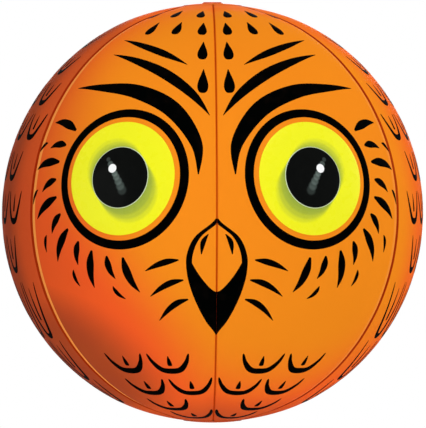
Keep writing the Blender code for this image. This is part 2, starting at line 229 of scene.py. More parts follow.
# %% Wire nodes with short calls
class Wiring:
    """A node tree, with small calls that add a node and wire it up."""

    def __init__(self, tree):
        self.tree = tree

    def give(self, socket, value):
        """Gives a socket a wire from another node's output, or a constant."""
        if isinstance(value, bpy.types.NodeSocket):
            self.tree.links.new(value, socket)
        else:
            socket.default_value = value

    def node(self, kind, inputs=(), **settings):
        """A node of that kind. Settings are its properties, and inputs is a dict of sockets."""
        made = self.tree.nodes.new("ShaderNode" + kind)
        for setting, value in settings.items():
            setattr(made, setting, value)
        for socket, value in dict(inputs).items():
            self.give(made.inputs[socket], value)
        return made

    def calculate(self, operation, first, second=0.0):
        """One sum, such as MULTIPLY or ARCTAN2, on one or two values."""
        return self.node("Math", {0: first, 1: second}, operation=operation).outputs[0]

    def together(self, first, *others):
        """The product of some shares."""
        for other in others:
            first = self.calculate("MULTIPLY", first, other)
        return first

    def strongest(self, first, *others):
        """The largest of some shares."""
        for other in others:
            first = self.calculate("MAXIMUM", first, other)
        return first

    def seen(self):
        """1 where a ray shows something to the camera, and 0 where it only carries light."""
        rays = self.node("LightPath").outputs
        kinds = ("Is Camera Ray", "Is Glossy Ray", "Is Transmission Ray")
        return self.strongest(*(rays[kind] for kind in kinds))


print("wiring ready")

# %% [markdown]
# Patterns read the object's own coordinates in metres, so they stay put when a piece moves. A
# noise's values lie mostly between 0.3 and 0.7, and that range is what wander stretches.

# %% Turn a recipe into a material
NOISE_LOW = 0.3
NOISE_HIGH = 0.7


class Finish(Wiring):
    """A material for one of the model's slots, and the steps that its recipe is made of."""

    def __init__(self, name, slot=None, **values):
        self.material = bpy.data.materials.new(name)
        self.material.use_nodes = True
        super().__init__(self.material.node_tree)
        self.slot = slot
        self.shader = self.tree.nodes["Principled BSDF"]
        for socket, value in values.items():
            self.feed(socket.replace("_", " "), value)
        print("finish:", name)

    def feed(self, socket, value):
        self.give(self.shader.inputs[socket], value)

    def place(self, location=(0, 0, 0), rotation=(0, 0, 0)):
        """Object coordinates, as seen from a place and a turn of one's own."""
        source = self.node("TexCoord").outputs["Object"]
        sockets = {"Vector": source, "Location": location, "Rotation": rotation}
        return self.node("Mapping", sockets, vector_type="TEXTURE").outputs["Vector"]

    def vector(self, operation, *inputs):
        """One sum on whole vectors."""
        made = self.node("VectorMath", dict(enumerate(inputs)), operation=operation)
        return made.outputs["Value" if operation in ("LENGTH", "DOT_PRODUCT") else "Vector"]

    def off_axis(self, where, x=0.0, y=0.0):
        """Distance from the line along Z that runs through x and y."""
        flat = self.vector("MULTIPLY", where, (1, 1, 0))
        return self.vector("LENGTH", self.vector("SUBTRACT", flat, (x, y, 0)))

    def speckle(self, where, scale, detail=3.0, rough=0.5):
        sockets = {"Vector": where, "Scale": scale, "Detail": detail, "Roughness": rough}
        return self.node("TexNoise", sockets).outputs["Fac"]

    def spread(self, value, low, high, start=0.0, end=1.0):
        """Maps value smoothly from low..high to start..end, held at both ends."""
        sockets = {"Value": value, "From Min": low, "From Max": high}
        sockets.update({"To Min": start, "To Max": end})
        return self.node("MapRange", sockets, interpolation_type="SMOOTHSTEP").outputs["Result"]

    def wander(self, speckle, start, end):
        """Lets a speckle move a value between start and end."""
        return self.spread(speckle, NOISE_LOW, NOISE_HIGH, start, end)

    def blend(self, share, first, second):
        """From one colour to another. A Mix node's sockets 6 and 7 are the ones for colours."""
        sockets = {0: share}
        for socket, colour in ((6, first), (7, second)):
            wired = isinstance(colour, bpy.types.NodeSocket)
            sockets[socket] = colour if wired else (*colour, 1)
        return self.node("Mix", sockets, data_type="RGBA").outputs[2]

    def relief(self, height, depth, strength, **under):
        sockets = {"Height": height, "Distance": depth, "Strength": strength, **under}
        return self.node("Bump", sockets).outputs["Normal"]


print("recipes ready")

# %% [markdown]
# ## The orange vinyl
#
# The sheet is a strong orange, and painted shade darkens it. It turns red away from the lit upper
# right and towards the ball's edge, and deep red low on the left and underneath, where the shade
# falls. The side petals have painted shades of their own, redder on the right and a deep red on the
# left, with a step at each seam as if each petal were printed by itself. The painted shade could
# be a picture. Here it is a few soft ramps over the direction in which a point of the ball faces,
# because these have no pixels and no seam of their own.

# %% Name the vinyl's colours and where they are strongest
# ORANGE is the sheet's own colour. The red-orange and the deep red are painted shade. FULL_ORANGE
# points to the lit upper right, and FULL_RED and FULL_DEEP point to the shaded lower left.
ORANGE = (0.93, 0.268, 0.012)
PAINTED_SHADE_RED_ORANGE = (0.95, 0.112, 0.020)
PAINTED_SHADE_DEEP_RED = (0.33, 0.050, 0.020)
FULL_ORANGE = Vector((0.35, -0.85, 0.25)).normalized()
FULL_RED = Vector((-0.8, 0.0, -0.6))
FULL_DEEP = Vector((-0.62, -0.3, -0.72)).normalized()
# How far round the ball one petal's shade takes to give way to the next, in radians.
PETAL_CHANGE = 0.003
# From where to where, going left, a point comes to lie on the left side.
LEFT_SIDE = (-0.3, -0.5)

vinyl = Finish("orange_vinyl", "orange_vinyl", Roughness=0.48, Specular_IOR_Level=0.001)
where = vinyl.place()
outward = vinyl.vector("NORMALIZE", where)


def towards(direction):
    """How squarely a point of the ball faces a direction, from -1 to 1."""
    return vinyl.vector("DOT_PRODUCT", outward, direction)


def past_seam(number):
    """0 before a seam and 1 past it. The face's own seam is number 0, on both sides."""
    seam = 2 * HALF_GORE * number
    return vinyl.spread(off_face, seam - PETAL_CHANGE, seam + PETAL_CHANGE)


front = towards(Vector((0, -1, 0)))
across = towards(Vector((1, 0, 0)))
underneath = towards(-UP)
off_face = vinyl.calculate("ARCTAN2", vinyl.calculate("ABSOLUTE", across), front)
off_seam = vinyl.calculate("PINGPONG", off_face, HALF_GORE)
past_front = past_seam(1)
side_petal = vinyl.calculate("SUBTRACT", past_front, past_seam(2))
left_petal = vinyl.together(side_petal, vinyl.spread(across, *LEFT_SIDE))
print("petals meet every", round(math.degrees(2 * HALF_GORE)), "degrees")

# %% Shade the petals
# Each ramp: where it starts and where it ends, then its strength at both ends.
AWAY_FROM_FACE = (0.64, 0.14, 0.0, 0.95)
NEAR_THE_EDGE = (0.34, 0.20, 0.0, 0.6)
LOW_LEFT = (0.31, 0.66)
NOT_BEHIND = (-0.5, 0.1)
SIDE_PETAL_RED = (0.0, 0.30, 0.0, 0.75)
LOWEST_LEFT = (0.84, 0.985, 0.0, 0.9)
LEFT_EDGE = (-0.45, -0.80, 0.0, 0.21)
FRONT_HALF = (0.0, 0.3)
LEFT_PETAL_DEEP = (0.07, 0.27, 0.55, 1.0)
SIDE_PETAL_DEEP = (0.28, 0.42, 0.0, 0.3)
UNDERNEATH = (0.83, 0.99, 0.0, 0.6)

# Red-orange painted shade: away from the lit upper right, towards the ball's edge, low on the left
# and on the side petals.
painted_red_shade = vinyl.strongest(
    vinyl.spread(towards(FULL_ORANGE), *AWAY_FROM_FACE),
    vinyl.spread(front, *NEAR_THE_EDGE),
    vinyl.together(vinyl.spread(towards(FULL_RED), *LOW_LEFT), vinyl.spread(front, *NOT_BEHIND)),
    vinyl.together(side_petal, vinyl.spread(off_seam, *SIDE_PETAL_RED)),
)
# Deep red painted shade, darkest low on the left, on the left petal and underneath.
deep = vinyl.strongest(
    vinyl.spread(towards(FULL_DEEP), *LOWEST_LEFT),
    vinyl.together(vinyl.spread(across, *LEFT_EDGE), vinyl.spread(front, *FRONT_HALF)),
    vinyl.together(left_petal, vinyl.spread(off_seam, *LEFT_PETAL_DEEP)),
    vinyl.together(side_petal, vinyl.spread(off_seam, *SIDE_PETAL_DEEP)),
    vinyl.spread(underneath, *UNDERNEATH),
)
dye_and_painted_light = vinyl.blend(painted_red_shade, ORANGE, PAINTED_SHADE_RED_ORANGE)
dye_and_painted_light = vinyl.blend(deep, dye_and_painted_light, PAINTED_SHADE_DEEP_RED)
# The painted shade runs between these colours.
print("the print shades from", ORANGE, "to", PAINTED_SHADE_DEEP_RED)

# %% [markdown]
# Painted light marks the welds. A painted shadow darkens a line along every seam, in its crease,
# the front petals get a painted highlight in a strip beside the side seams, where their turned-down
# edge faces the light, and the side petals end there in a wider painted shadow. Strips of their own
# could be laid there, but a colour that depends on how far a point lies from its seam follows the
# weld exactly.

# %% Mark the welds
# A painted highlight beside the side seams, a painted shadow in each seam's crease, and a wider
# painted shadow along the side petals' edges.
SEAM_HIGHLIGHT_ORANGE = (1.0, 0.33, 0.065)
SEAM_CREASE_SHADOW = (0.58, 0.055, 0.002)
PETAL_EDGE_SHADOW = (0.33, 0.018, 0.002)
SEAM_HIGHLIGHT_WIDTH = 0.0108
MARGIN_END = 0.0006
# Only the half of a front petal that is nearer to its side seam has the painted highlight, and
# it comes in over this angle.
HALF_FADE = 0.1
# More ramps. The painted highlight fades out towards the poles and is fainter on the right.
MARGIN_FADE = (0.05, 0.16)
MARGIN_LEFT_TO_RIGHT = (0.0, 0.3, 1.0, 0.4)
WELD_LINE = (0.0004, 0.0023, 0.9, 0.0)
PETAL_EDGE_WIDTH = 0.0042
DISC_EDGE = 0.0005

off_axis = vinyl.off_axis(where)
from_seam = vinyl.together(off_axis, off_seam)
past_disc = vinyl.spread(off_axis, PATCH_RADIUS - DISC_EDGE, PATCH_RADIUS + DISC_EDGE)
outer_half = vinyl.spread(off_face, HALF_GORE, HALF_GORE + HALF_FADE)
# Painted highlight on the front petals beside the side seams, stronger on the left.
seam_highlight = vinyl.together(
    vinyl.spread(from_seam, SEAM_HIGHLIGHT_WIDTH, SEAM_HIGHLIGHT_WIDTH + MARGIN_END, 1.0, 0.0),
    vinyl.calculate("SUBTRACT", outer_half, past_front),
    vinyl.spread(off_axis, *MARGIN_FADE),
    vinyl.spread(across, *MARGIN_LEFT_TO_RIGHT),
)
dye_and_painted_light = vinyl.blend(seam_highlight, dye_and_painted_light, SEAM_HIGHLIGHT_ORANGE)
# Painted shadow along every seam's crease.
crease_shadow_share = vinyl.together(vinyl.spread(from_seam, *WELD_LINE), past_disc)
dye_and_painted_light = vinyl.blend(crease_shadow_share, dye_and_painted_light, SEAM_CREASE_SHADOW)
# Wider painted shadow along the side petals' edges.
near, far = PETAL_EDGE_WIDTH - MARGIN_END, PETAL_EDGE_WIDTH + MARGIN_END
edge = vinyl.together(vinyl.spread(from_seam, near, far, 1.0, 0.0), side_petal, past_disc)
dye_and_painted_light = vinyl.blend(edge, dye_and_painted_light, PETAL_EDGE_SHADOW)
# The width of the painted highlight beside the side seams.
print("bare margin", round(SEAM_HIGHLIGHT_WIDTH * 1000, 1), "mm wide")

# %% [markdown]
# A flat orange would look like paint. The roll's colour drifts a little, the surface has the soft
# waves of calendered sheet under a very fine grain, and handling leaves it less glossy in
# patches. Each of these is a faint noise of its own size.

# %% Give the sheet its surface
ROLL_DRIFT = (0.84, 0.19, 0.012)

drift = vinyl.wander(vinyl.speckle(where, scale=6), start=0.0, end=0.10)
vinyl.feed("Base Color", vinyl.blend(drift, dye_and_painted_light, ROLL_DRIFT))
handled = vinyl.speckle(where, scale=34, detail=6, rough=0.6)
vinyl.feed("Roughness", vinyl.wander(handled, start=0.42, end=0.56))
grain = vinyl.relief(vinyl.speckle(where, scale=900, detail=2), depth=0.00002, strength=0.3)
waves = vinyl.speckle(where, scale=26, detail=1)
vinyl.feed("Normal", vinyl.relief(waves, depth=0.0006, strength=0.3, Normal=grain))
print("the vinyl's nodes:", len(vinyl.tree.nodes))

# %% [markdown]
# ## The printing ink
#
# Screen ink is nearly black and as matt as the sheet. Where the squeegee laid it thinner it is
# browner, so a slow noise lifts it a very little. A plain black would do from afar, and this
# keeps the large strokes from looking like holes close by.

# %% Mix the ink
INK_BLACK = (0.0004, 0.0006, 0.0005)
THIN_INK = (0.0024, 0.0015, 0.0012)

ink = Finish("black_ink", "black_gloss", Roughness=0.42, Specular_IOR_Level=0.001)
where = ink.place()
thin = ink.spread(ink.speckle(where, scale=60, detail=4), low=0.45, high=0.75)
ink.feed("Base Color", ink.blend(thin, INK_BLACK, THIN_INK))
ink.feed("Roughness", ink.wander(ink.speckle(where, scale=220), start=0.36, end=0.5))
ink.feed("Normal", ink.relief(ink.speckle(where, scale=1200), depth=0.00002, strength=0.3))

# %% [markdown]
# ## Milky vinyl and nickel
#
# The valve is soft undyed vinyl: cloudy, a little yellow, and lit through from behind. A glass
# shader could show that at a great cost in time, and subsurface scattering is enough at this
# size. The eyelet is nickel-plated brass with fine turning lines, which are rings of a wave round
# its own axis, and a film of handling that makes its gloss uneven.

# %% Mix the milky vinyl and the nickel
MILK = (0.80, 0.79, 0.74)
CLOUDY_MILK = (0.70, 0.69, 0.63)
NICKEL = (0.60, 0.58, 0.53)
HANDLED_NICKEL = (0.50, 0.48, 0.43)
LIGHT_REACH = 0.0015

milky = Finish("milky_pvc", "milky_pvc", Roughness=0.35, Specular_IOR_Level=0.4)
milky.feed("Subsurface Weight", 0.35)
milky.feed("Subsurface Radius", (1.0, 0.9, 0.7))
milky.feed("Subsurface Scale", LIGHT_REACH)
where = milky.place()
milky.feed("Base Color", milky.blend(milky.speckle(where, scale=180, detail=4), MILK, CLOUDY_MILK))
milky.feed("Roughness", milky.wander(milky.speckle(where, scale=900), start=0.3, end=0.45))
milky.feed("Normal", milky.relief(milky.speckle(where, scale=1600), depth=0.00003, strength=0.4))

nickel = Finish("nickel", "nickel", Metallic=1.0, Roughness=0.25)
where = nickel.place(location=(0, TAB_REACH, FOLD_LEVEL))
smudge = nickel.speckle(where, scale=420, detail=4)
nickel.feed("Base Color", nickel.blend(smudge, NICKEL, HANDLED_NICKEL))
nickel.feed("Roughness", nickel.spread(smudge, low=0.35, high=0.7, start=0.18, end=0.34))
turning = {"Vector": where, "Scale": 900.0, "Distortion": 0.4}
lines = nickel.node("TexWave", turning, wave_type="RINGS", rings_direction="Z").outputs["Fac"]
nickel.feed("Normal", nickel.relief(lines, depth=0.000012, strength=0.4))

# %% [markdown]
# ## The gores
#
# On the real ball a flat petal is cut for each gore and the petals are welded edge to edge. A
# grid is the natural start here: its columns run from seam to seam and its rows from pole to
# pole. The columns crowd together beside the seams, where the sheet turns into the weld, and
# both side edges are then extruded inwards as the weld's hidden fin.

# %% Lay out one gore of the ball
GORE_NAMES = ("right", "back_right", "back_left", "left", "front_left", "front_right")
GORE_COLUMNS = 56
GORE_ROWS = 230
TOP_TIP_RADIUS = 0.006
BOTTOM_TIP_RADIUS = 0.024
FIN_DEPTH = 0.006
CROWDED_SHARE = 0.36
CROWDED_REACH = 0.012
CROWDED_POWER = 2.2
# A grid runs from -1 to 1, and its side edges lie past this.
GRID_SIDE = 0.9999


def distance_from_seam(share, half_width):
    """How far a column lies from its seam: share is 0 at the seam and 1 at the gore's middle."""
    reach = min(CROWDED_REACH, half_width * CROWDED_SHARE)
    if share < CROWDED_SHARE:
        return reach * (share / CROWDED_SHARE) ** CROWDED_POWER
    return reach + (half_width - reach) * (share - CROWDED_SHARE) / (1 - CROWDED_SHARE)


def gore_sheet(index):
    """The sheet of one gore, centred on +X turned by index gores."""
    top = math.asin(TOP_TIP_RADIUS / POLE_RADIUS)
    bottom = math.pi - math.asin(BOTTOM_TIP_RADIUS / POLE_RADIUS)
    bm = bmesh.new()
    bmesh.ops.create_grid(bm, x_segments=GORE_COLUMNS, y_segments=GORE_ROWS, size=1)
    edges = [edge for edge in bm.edges if all(abs(vert.co.x) > GRID_SIDE for vert in edge.verts)]
    for vert in bm.verts:
        side = math.copysign(1, vert.co.x)
        from_top = top + (bottom - top) * (1 - vert.co.y) / 2
        ring = BALL_RADIUS * math.sin(from_top)
        from_seam = distance_from_seam(1 - abs(vert.co.x), ring * HALF_GORE)
        turn = side * (HALF_GORE - from_seam / ring) + 2 * HALF_GORE * index
        flat = math.sin(from_top)
        direction = Vector((flat * math.cos(turn), flat * math.sin(turn), math.cos(from_top)))
        vert.co = direction * skin_radius(direction)
    fins = bmesh.ops.extrude_edge_only(bm, edges=edges)["geom"]
    for vert in fins:
        if isinstance(vert, bmesh.types.BMVert):
            vert.co -= vert.co.normalized() * FIN_DEPTH
    bmesh.ops.recalc_face_normals(bm, faces=bm.faces)
    outermost = max(bm.faces, key=lambda face: face.calc_center_median().length)
    if outermost.normal.dot(outermost.calc_center_median()) < 0:
        bmesh.ops.reverse_faces(bm, faces=bm.faces)
    return bm


for index, name in enumerate(GORE_NAMES):
    make_piece("sheet_" + name, gore_sheet(index), vinyl, "ball", "gore_" + name, wall=(SHEET, -1))

# %% [markdown]
# ## Brushes for the print
#
# The print is laid as very thin sheets on the skin, because a pattern drawn in a shader goes soft
# at its edges and a real screen print doesn't. One brush does nearly all of it: a grid is stretched
# along a smooth spine and its width follows a list of half-widths in metres, so a stroke can
# swell and taper like a feather. A second brush fills the space between two edges.

# %% Find places on the face
INK_LIFT = 0.00009


def on_skin(direction):
    return direction * (skin_radius(direction) + INK_LIFT)


def beside(side, bearing, latitude, x, y):
    """Direction of a point x metres further from the face's middle than a place, and y up."""
    centre = facing(side * bearing, latitude)
    up = (UP - centre * centre.z).normalized()
    aside = up.cross(centre) * side
    return (centre * BALL_RADIUS + aside * x + up * y).normalized()


def by_eye(side, angle, reach):
    """Direction at reach degrees from an eye's centre. Angle 0 points away from the beak."""
    turn, far = math.radians(angle), BALL_RADIUS * math.tan(math.radians(reach))
    return beside(side, EYE_BEARING, EYE_LIFT, far * math.cos(turn), far * math.sin(turn))


def millimetres(values):
    return [value / 1000 for value in values]


print("ink lies", round(INK_LIFT * 1e6), "micrometres over the skin")

# %% Make the two brushes
# A stroke is never thinner than this, and its heading is read a little before and after a point.
THINNEST = 0.0002
GLANCE = 0.01


def along(values, share):
    """Smooth value at a share of the way along a list of numbers or vectors."""
    place = share * (len(values) - 1)
    index = min(int(place), len(values) - 2)
    step = place - index
    before = values[max(index - 1, 0)]
    first, second = values[index], values[index + 1]
    after = values[min(index + 2, len(values) - 1)]
    return 0.5 * (
        2 * first
        + (second - before) * step
        + (2 * before - 5 * first + 4 * second - after) * step**2
        + (3 * first - before - 3 * second + after) * step**3
    )


def paint_between(bm, near_edge, far_edge, steps, across):
    """Fills the skin between two edges, each a function from a share to a direction."""
    made = bmesh.ops.create_grid(bm, x_segments=steps, y_segments=across, size=1)["verts"]
    for vert in made:
        share, width = (vert.co.x + 1) / 2, (vert.co.y + 1) / 2
        vert.co = on_skin(near_edge(share).lerp(far_edge(share), width).normalized())


def paint_stroke(bm, spine, half_widths, steps, across=4):
    """A stroke along a list of directions, as wide as half_widths says, with round ends."""
    length = BALL_RADIUS * sum(first.angle(second) for first, second in zip(spine, spine[1:]))

    def edge(side):
        def point(row):
            share = (1 - math.cos(math.pi * row)) / 2
            middle = along(spine, share).normalized()
            ahead = along(spine, min(share + GLANCE, 1)) - along(spine, max(share - GLANCE, 0))
            sideways = middle.cross(ahead).normalized()
            half = max(along(half_widths, share), THINNEST)
            in_end = max(0, 1 - min(share, 1 - share) * length / half)
            half *= math.sqrt(1 - in_end**2)
            return (middle + sideways * side * half / BALL_RADIUS).normalized()

        return point

    paint_between(bm, edge(-1), edge(1), steps, across)


def print_piece(name, bm):
    face_outwards(bm)
    make_piece(name, bm, ink, "ball", wall=(INK_WALL, 1))


print("brushes lay", round(INK_WALL * 1e6), "micrometres of ink")

# %% [markdown]
# ## The printed eye rings and brows
#
# A bold ring round each eye, set off from the film by a band of bare orange, makes the stare.
# Above it a heavy brow, a lighter one and an ear tuft sweep outwards, each swelling and tapering
# like a brush stroke. Both sides come from the same strokes with the bearing's sign changed, as a
# printer's artwork would be mirrored.

# %% Print rings and brows
RING_INNER = 16.8
RING_OUTER = 19.2
RING_STEPS = 144
BROW_STEPS = 80
# Each stroke: places round the eye as (angle, reach), then half-widths in millimetres.
BROWS = (
    (
        ((176, 21.7), (153, 22.6), (122, 23.0), (92, 24.7), (68, 28.6), (53, 34.6)),
        (0.8, 8.5, 12.5, 11.5, 6.5, 0.4),
    ),
    (((140, 29.4), (124, 29.8), (104, 31.6), (86, 35.4), (72, 41.0)), (0.4, 6.5, 8.5, 6.0, 0.4)),
    (((110, 37.0), (97, 38.6), (85, 42.0), (75, 47.0)), (0.4, 6.0, 5.2, 0.4)),
)

rings = bmesh.new()
brows = bmesh.new()
for side in (-1, 1):
    paint_between(
        rings,
        lambda share: by_eye(side, 360 * share, RING_INNER),
        lambda share: by_eye(side, 360 * share, RING_OUTER),
        steps=RING_STEPS,
        across=4,
    )
    for places, widths in BROWS:
        spine = [by_eye(side, *place) for place in places]
        paint_stroke(brows, spine, millimetres(widths), BROW_STEPS, across=6)
print_piece("print_eye_rings", rings)
print_piece("print_brows", brows)

# %% [markdown]
# ## The facial disc
#
# An owl's eyes sit in dishes of stiff feathers. Here they are tapering strokes that spread from
# the outer side of each ring, long and short by turns and all a little bent the same way, with a
# fleck beyond each short one. A loop round the eye draws them from three kinds of stroke, which
# keeps them even.

# %% Print the feathers round the eyes
RAYS = 11
FIRST_RAY = 40
RAY_PITCH = 13.2
RAY_START = 21.3
RAY_STEPS = 36
RAY_BEND = ((0, 0), (0.35, 1.2), (0.7, 3.4), (1, 6.5))
# Each kind: how far it is turned back and set out, its length, all in degrees, and its half-widths
# in millimetres.
LONG_RAY = (0.0, 0.0, 10.0, (1.6, 6.2, 4.8, 0.4))
SHORT_RAY = (0.0, 0.0, 6.0, (1.4, 5.2, 4.0, 0.4))
FLECK = (4.5, 8.2, 3.4, (0.5, 3.0, 2.8, 0.4))

disc = bmesh.new()
for side in (-1, 1):
    for count in range(RAYS):
        for turn, gap, length, widths in (SHORT_RAY, FLECK) if count % 2 else (LONG_RAY,):
            angle = FIRST_RAY - RAY_PITCH * count - turn
            start = RAY_START + gap
            spine = [by_eye(side, angle - bend, start + length * share) for share, bend in RAY_BEND]
            paint_stroke(disc, spine, millimetres(widths), RAY_STEPS)
print_piece("print_facial_disc", disc)

# %% [markdown]
# ## The forehead
#
# Drops in staggered rows fill the crown between the brows and grow smaller upwards. One drop is a
# short stroke with a point above and a round end below, and the rows are a table of latitudes and
# bearings, so that a row can be moved without redrawing it.

# %% Print the drops on the crown
# Each row: latitude, then the bearings of its drops on either side.
CROWN_ROWS = ((38, (4.4,)), (49.5, (5.2,)), (60, (6.5, 20, 35)), (70, (10, 30, 51)))
CROWN_DROP = 8.2
CROWN_DROP_HALF = 0.0078
CROWN_SHRINK = 0.08
DROP_SHARES = (0.05, 0.42, 0.82, 1.0, 0.7)
DROP_STEPS = 32


def paint_drop(bm, bearing, latitude, length, half_width, lean=0.0):
    """A feather's drop: pointed above, round below. Length in degrees, lean in degrees."""
    spine = []
    for place in range(len(DROP_SHARES)):
        up = 0.5 - place / (len(DROP_SHARES) - 1)
        spine.append(facing(bearing - lean * up, latitude + length * up))
    paint_stroke(bm, spine, [half_width * share for share in DROP_SHARES], DROP_STEPS)


crown = bmesh.new()
for row, (latitude, bearings) in enumerate(CROWN_ROWS):
    size = 1 - CROWN_SHRINK * row
    for bearing in bearings:
        for side in (-1, 1):
            paint_drop(crown, side * bearing, latitude, CROWN_DROP * size, CROWN_DROP_HALF * size)
print_piece("print_crown_drops", crown)

# %% [markdown]
# ## The beak
#
# The beak straddles the front seam, so it is laid as two halves that stop at the weld as the
# print on two petals does. Each half has a heavy outline, a solid hooked tip and a nostril slit,
# and the bare vinyl between them reads as the beak's shine. It could be one sheet over both
# petals, but that would bridge the valley of the weld.

# %% Shape the beak
BEAK_TOP = -1.5
BEAK_TIP = -35.0
BEAK_HALF_WIDTHS = (0.002, 0.031, 0.0425, 0.0425, 0.0365, 0.0270, 0.0150, 0.0006)
BEAK_LINE = 0.0085
SEAM_MARGIN = 0.00016


def in_beak(side, height, inset, across=1.0):
    """A point of the beak: height 0 to 1 downwards, across 0 at the seam and 1 at its edge."""
    edge = max(along(BEAK_HALF_WIDTHS, height) - inset, SEAM_MARGIN)
    latitude = BEAK_TOP + (BEAK_TIP - BEAK_TOP) * height
    ring = BALL_RADIUS * math.cos(math.radians(latitude))
    half = SEAM_MARGIN + (edge - SEAM_MARGIN) * across
    return facing(side * math.degrees(half / ring), latitude)


print("beak", 2000 * max(BEAK_HALF_WIDTHS), "mm wide")

# %% Print the beak
BEAK_STEPS = 120
# The outline's steps crowd towards the top, where it turns the sharpest.
BEAK_CROWDING = 1.6
HOOK_AT_SEAM = 0.60
HOOK_AT_EDGE = 0.30
HOOK_BEND = 1.7
HOOK_CELLS = (70, 18)
HOOK_CROWDING = 2
# The slit runs through these places, as (bearing, latitude). Its half-widths are in millimetres.
NOSTRIL = ((2.3, -5.6), (3.7, -7.8), (4.2, -11))
NOSTRIL_HALF_WIDTHS = (0.6, 3.6, 0.6)
NOSTRIL_STEPS = 40

beak = bmesh.new()
for side in (-1, 1):
    paint_between(
        beak,
        lambda share: in_beak(side, share**BEAK_CROWDING, BEAK_LINE),
        lambda share: in_beak(side, share**BEAK_CROWDING, 0),
        steps=BEAK_STEPS,
        across=6,
    )
    columns, rows = HOOK_CELLS
    hook = bmesh.ops.create_grid(beak, x_segments=columns, y_segments=rows, size=1)["verts"]
    for vert in hook:
        down, across = (vert.co.x + 1) / 2, ((vert.co.y + 1) / 2) ** HOOK_CROWDING
        start = HOOK_AT_SEAM + (HOOK_AT_EDGE - HOOK_AT_SEAM) * across**HOOK_BEND
        vert.co = on_skin(in_beak(side, start + (1 - start) * down, BEAK_LINE / 2, across))
    spine = [facing(side * bearing, latitude) for bearing, latitude in NOSTRIL]
    paint_stroke(beak, spine, millimetres(NOSTRIL_HALF_WIDTHS), NOSTRIL_STEPS)
print_piece("print_beak", beak)

# %% [markdown]
# ## Whiskers
#
# Bristles spring from both sides of the beak and bend down as they spread. Each is one stroke
# whose fall grows faster than its reach, which bends it as its own weight would.

# %% Print the whiskers
# Each bristle: latitude and bearing of its root, its reach and its fall, all in degrees.
WHISKERS = ((-12.5, 10.4, 9.6, 3.0), (-18.0, 9.3, 10.0, 4.65), (-23.5, 8.2, 9.4, 6.3))
WHISKER_BEND = 1.7
WHISKER_SHARES = (0, 0.33, 0.66, 1)
WHISKER_HALF_WIDTHS = (1.0, 4.4, 3.6, 0.4)
WHISKER_STEPS = 40

whiskers = bmesh.new()
for side in (-1, 1):
    for latitude, root, reach, fall in WHISKERS:
        spine = [
            facing(side * (root + reach * share), latitude - fall * share**WHISKER_BEND)
            for share in WHISKER_SHARES
        ]
        paint_stroke(whiskers, spine, millimetres(WHISKER_HALF_WIDTHS), WHISKER_STEPS)
print_piece("print_whiskers", whiskers)

# %% [markdown]
# ## The chest
#
# Below the beak, rows of scallops stand for breast feathers, each with a drop for its shaft. A
# scallop is a stroke along the round tip of a feather, drawn flat beside its place and then laid
# on the skin, and the same one serves for the wings.

# %% Print the breast feathers
# Each row: latitude, then how far its feathers lie from the seam, in metres.
CHEST_ROWS = ((-41, (0.070, 0.142)), (-51, (0.036, 0.108)), (-61, (0.072,)), (-70, (0.034,)))
CHEST_FEATHER = {"half": 0.031, "drop": 0.034, "line": 0.0058}
# The tip's places across, and how wide the line is at each, as shares.
TIP = (
    (-1, 0.08),
    (-0.96, 0.3),
    (-0.8, 0.55),
    (-0.45, 0.85),
    (0, 1),
    (0.45, 0.85),
    (0.8, 0.55),
    (0.96, 0.3),
    (1, 0.08),
)
TIP_POWER = 3
TIP_STEPS = 56
# The shaft's places down the feather, and its widths.
SHAFT = ((0.1, 0.1), (0.4, 0.5), (0.68, 0.62))
SHAFT_STEPS = 24


def paint_scallop(bm, side, bearing, latitude, half, drop, line, lean=0.0):
    """A feather's round tip hanging from a place, with its shaft. Sizes in metres."""

    def below(x, depth):
        return beside(side, bearing, latitude, x + lean * depth, -depth)

    tip = [below(half * across, drop * (1 - abs(across) ** TIP_POWER)) for across, share in TIP]
    paint_stroke(bm, tip, [line * share for across, share in TIP], TIP_STEPS)
    shaft = [below(0, drop * down) for down, share in SHAFT]
    paint_stroke(bm, shaft, [line * share for down, share in SHAFT], SHAFT_STEPS)


chest = bmesh.new()
for latitude, places in CHEST_ROWS:
    ring = BALL_RADIUS * math.cos(math.radians(latitude))
    for place in places:
        for side in (-1, 1):
            paint_scallop(chest, side, math.degrees(place / ring), latitude, **CHEST_FEATHER)
print_piece("print_chest", chest)

# %% [markdown]
# ## The wings
#
# Each side gore is a folded wing: ten staggered rows of feathers, short ones above and long
# flight feathers from just below the middle, all leaning back. The same scallop draws them,
# because only its drop differs.

# %% Print the wings
WING_BEARING = 89
FEATHER_PITCH = 0.051
FEATHER_LINE = {"half": 0.0215, "line": 0.0046, "lean": 0.12}
# Each row: latitude, number of feathers, drop in metres.
WING_ROWS = (
    (58, 2, 0.032),
    (48, 3, 0.034),
    (38, 4, 0.036),
    (28, 5, 0.038),
    (17, 4, 0.040),
    (6, 5, 0.044),
    (-6, 4, 0.052),
    (-19, 5, 0.090),
    (-37, 4, 0.078),
    (-52, 3, 0.062),
)

wings = bmesh.new()
for latitude, feathers, drop in WING_ROWS:
    pitch = math.degrees(FEATHER_PITCH / (BALL_RADIUS * math.cos(math.radians(latitude))))
    for count in range(feathers):
        bearing = WING_BEARING + pitch * (count - (feathers - 1) / 2)
        for side in (-1, 1):
            paint_scallop(wings, side, bearing, latitude, drop=drop, **FEATHER_LINE)
print_piece("print_wings", wings)

# %% [markdown]
# ## The back
#
# The back gores carry sparser drops in staggered rows, with a barred tail below. A bird sees the
# back only in passing, so the print there is plain, and the crown's drop draws most of it.

# %% Print the back
# Rows of drops, in degrees: where the first one is, and how far on the next.
BACK_BEARINGS = (131, 148, 165)
BACK_STAGGER = 8.5
BACK_ROWS = 5
BACK_TOP = 50
BACK_PITCH = 17
BACK_DROP = 9.0
BACK_DROP_HALF = 0.0075
BACK_LEAN = 2.0
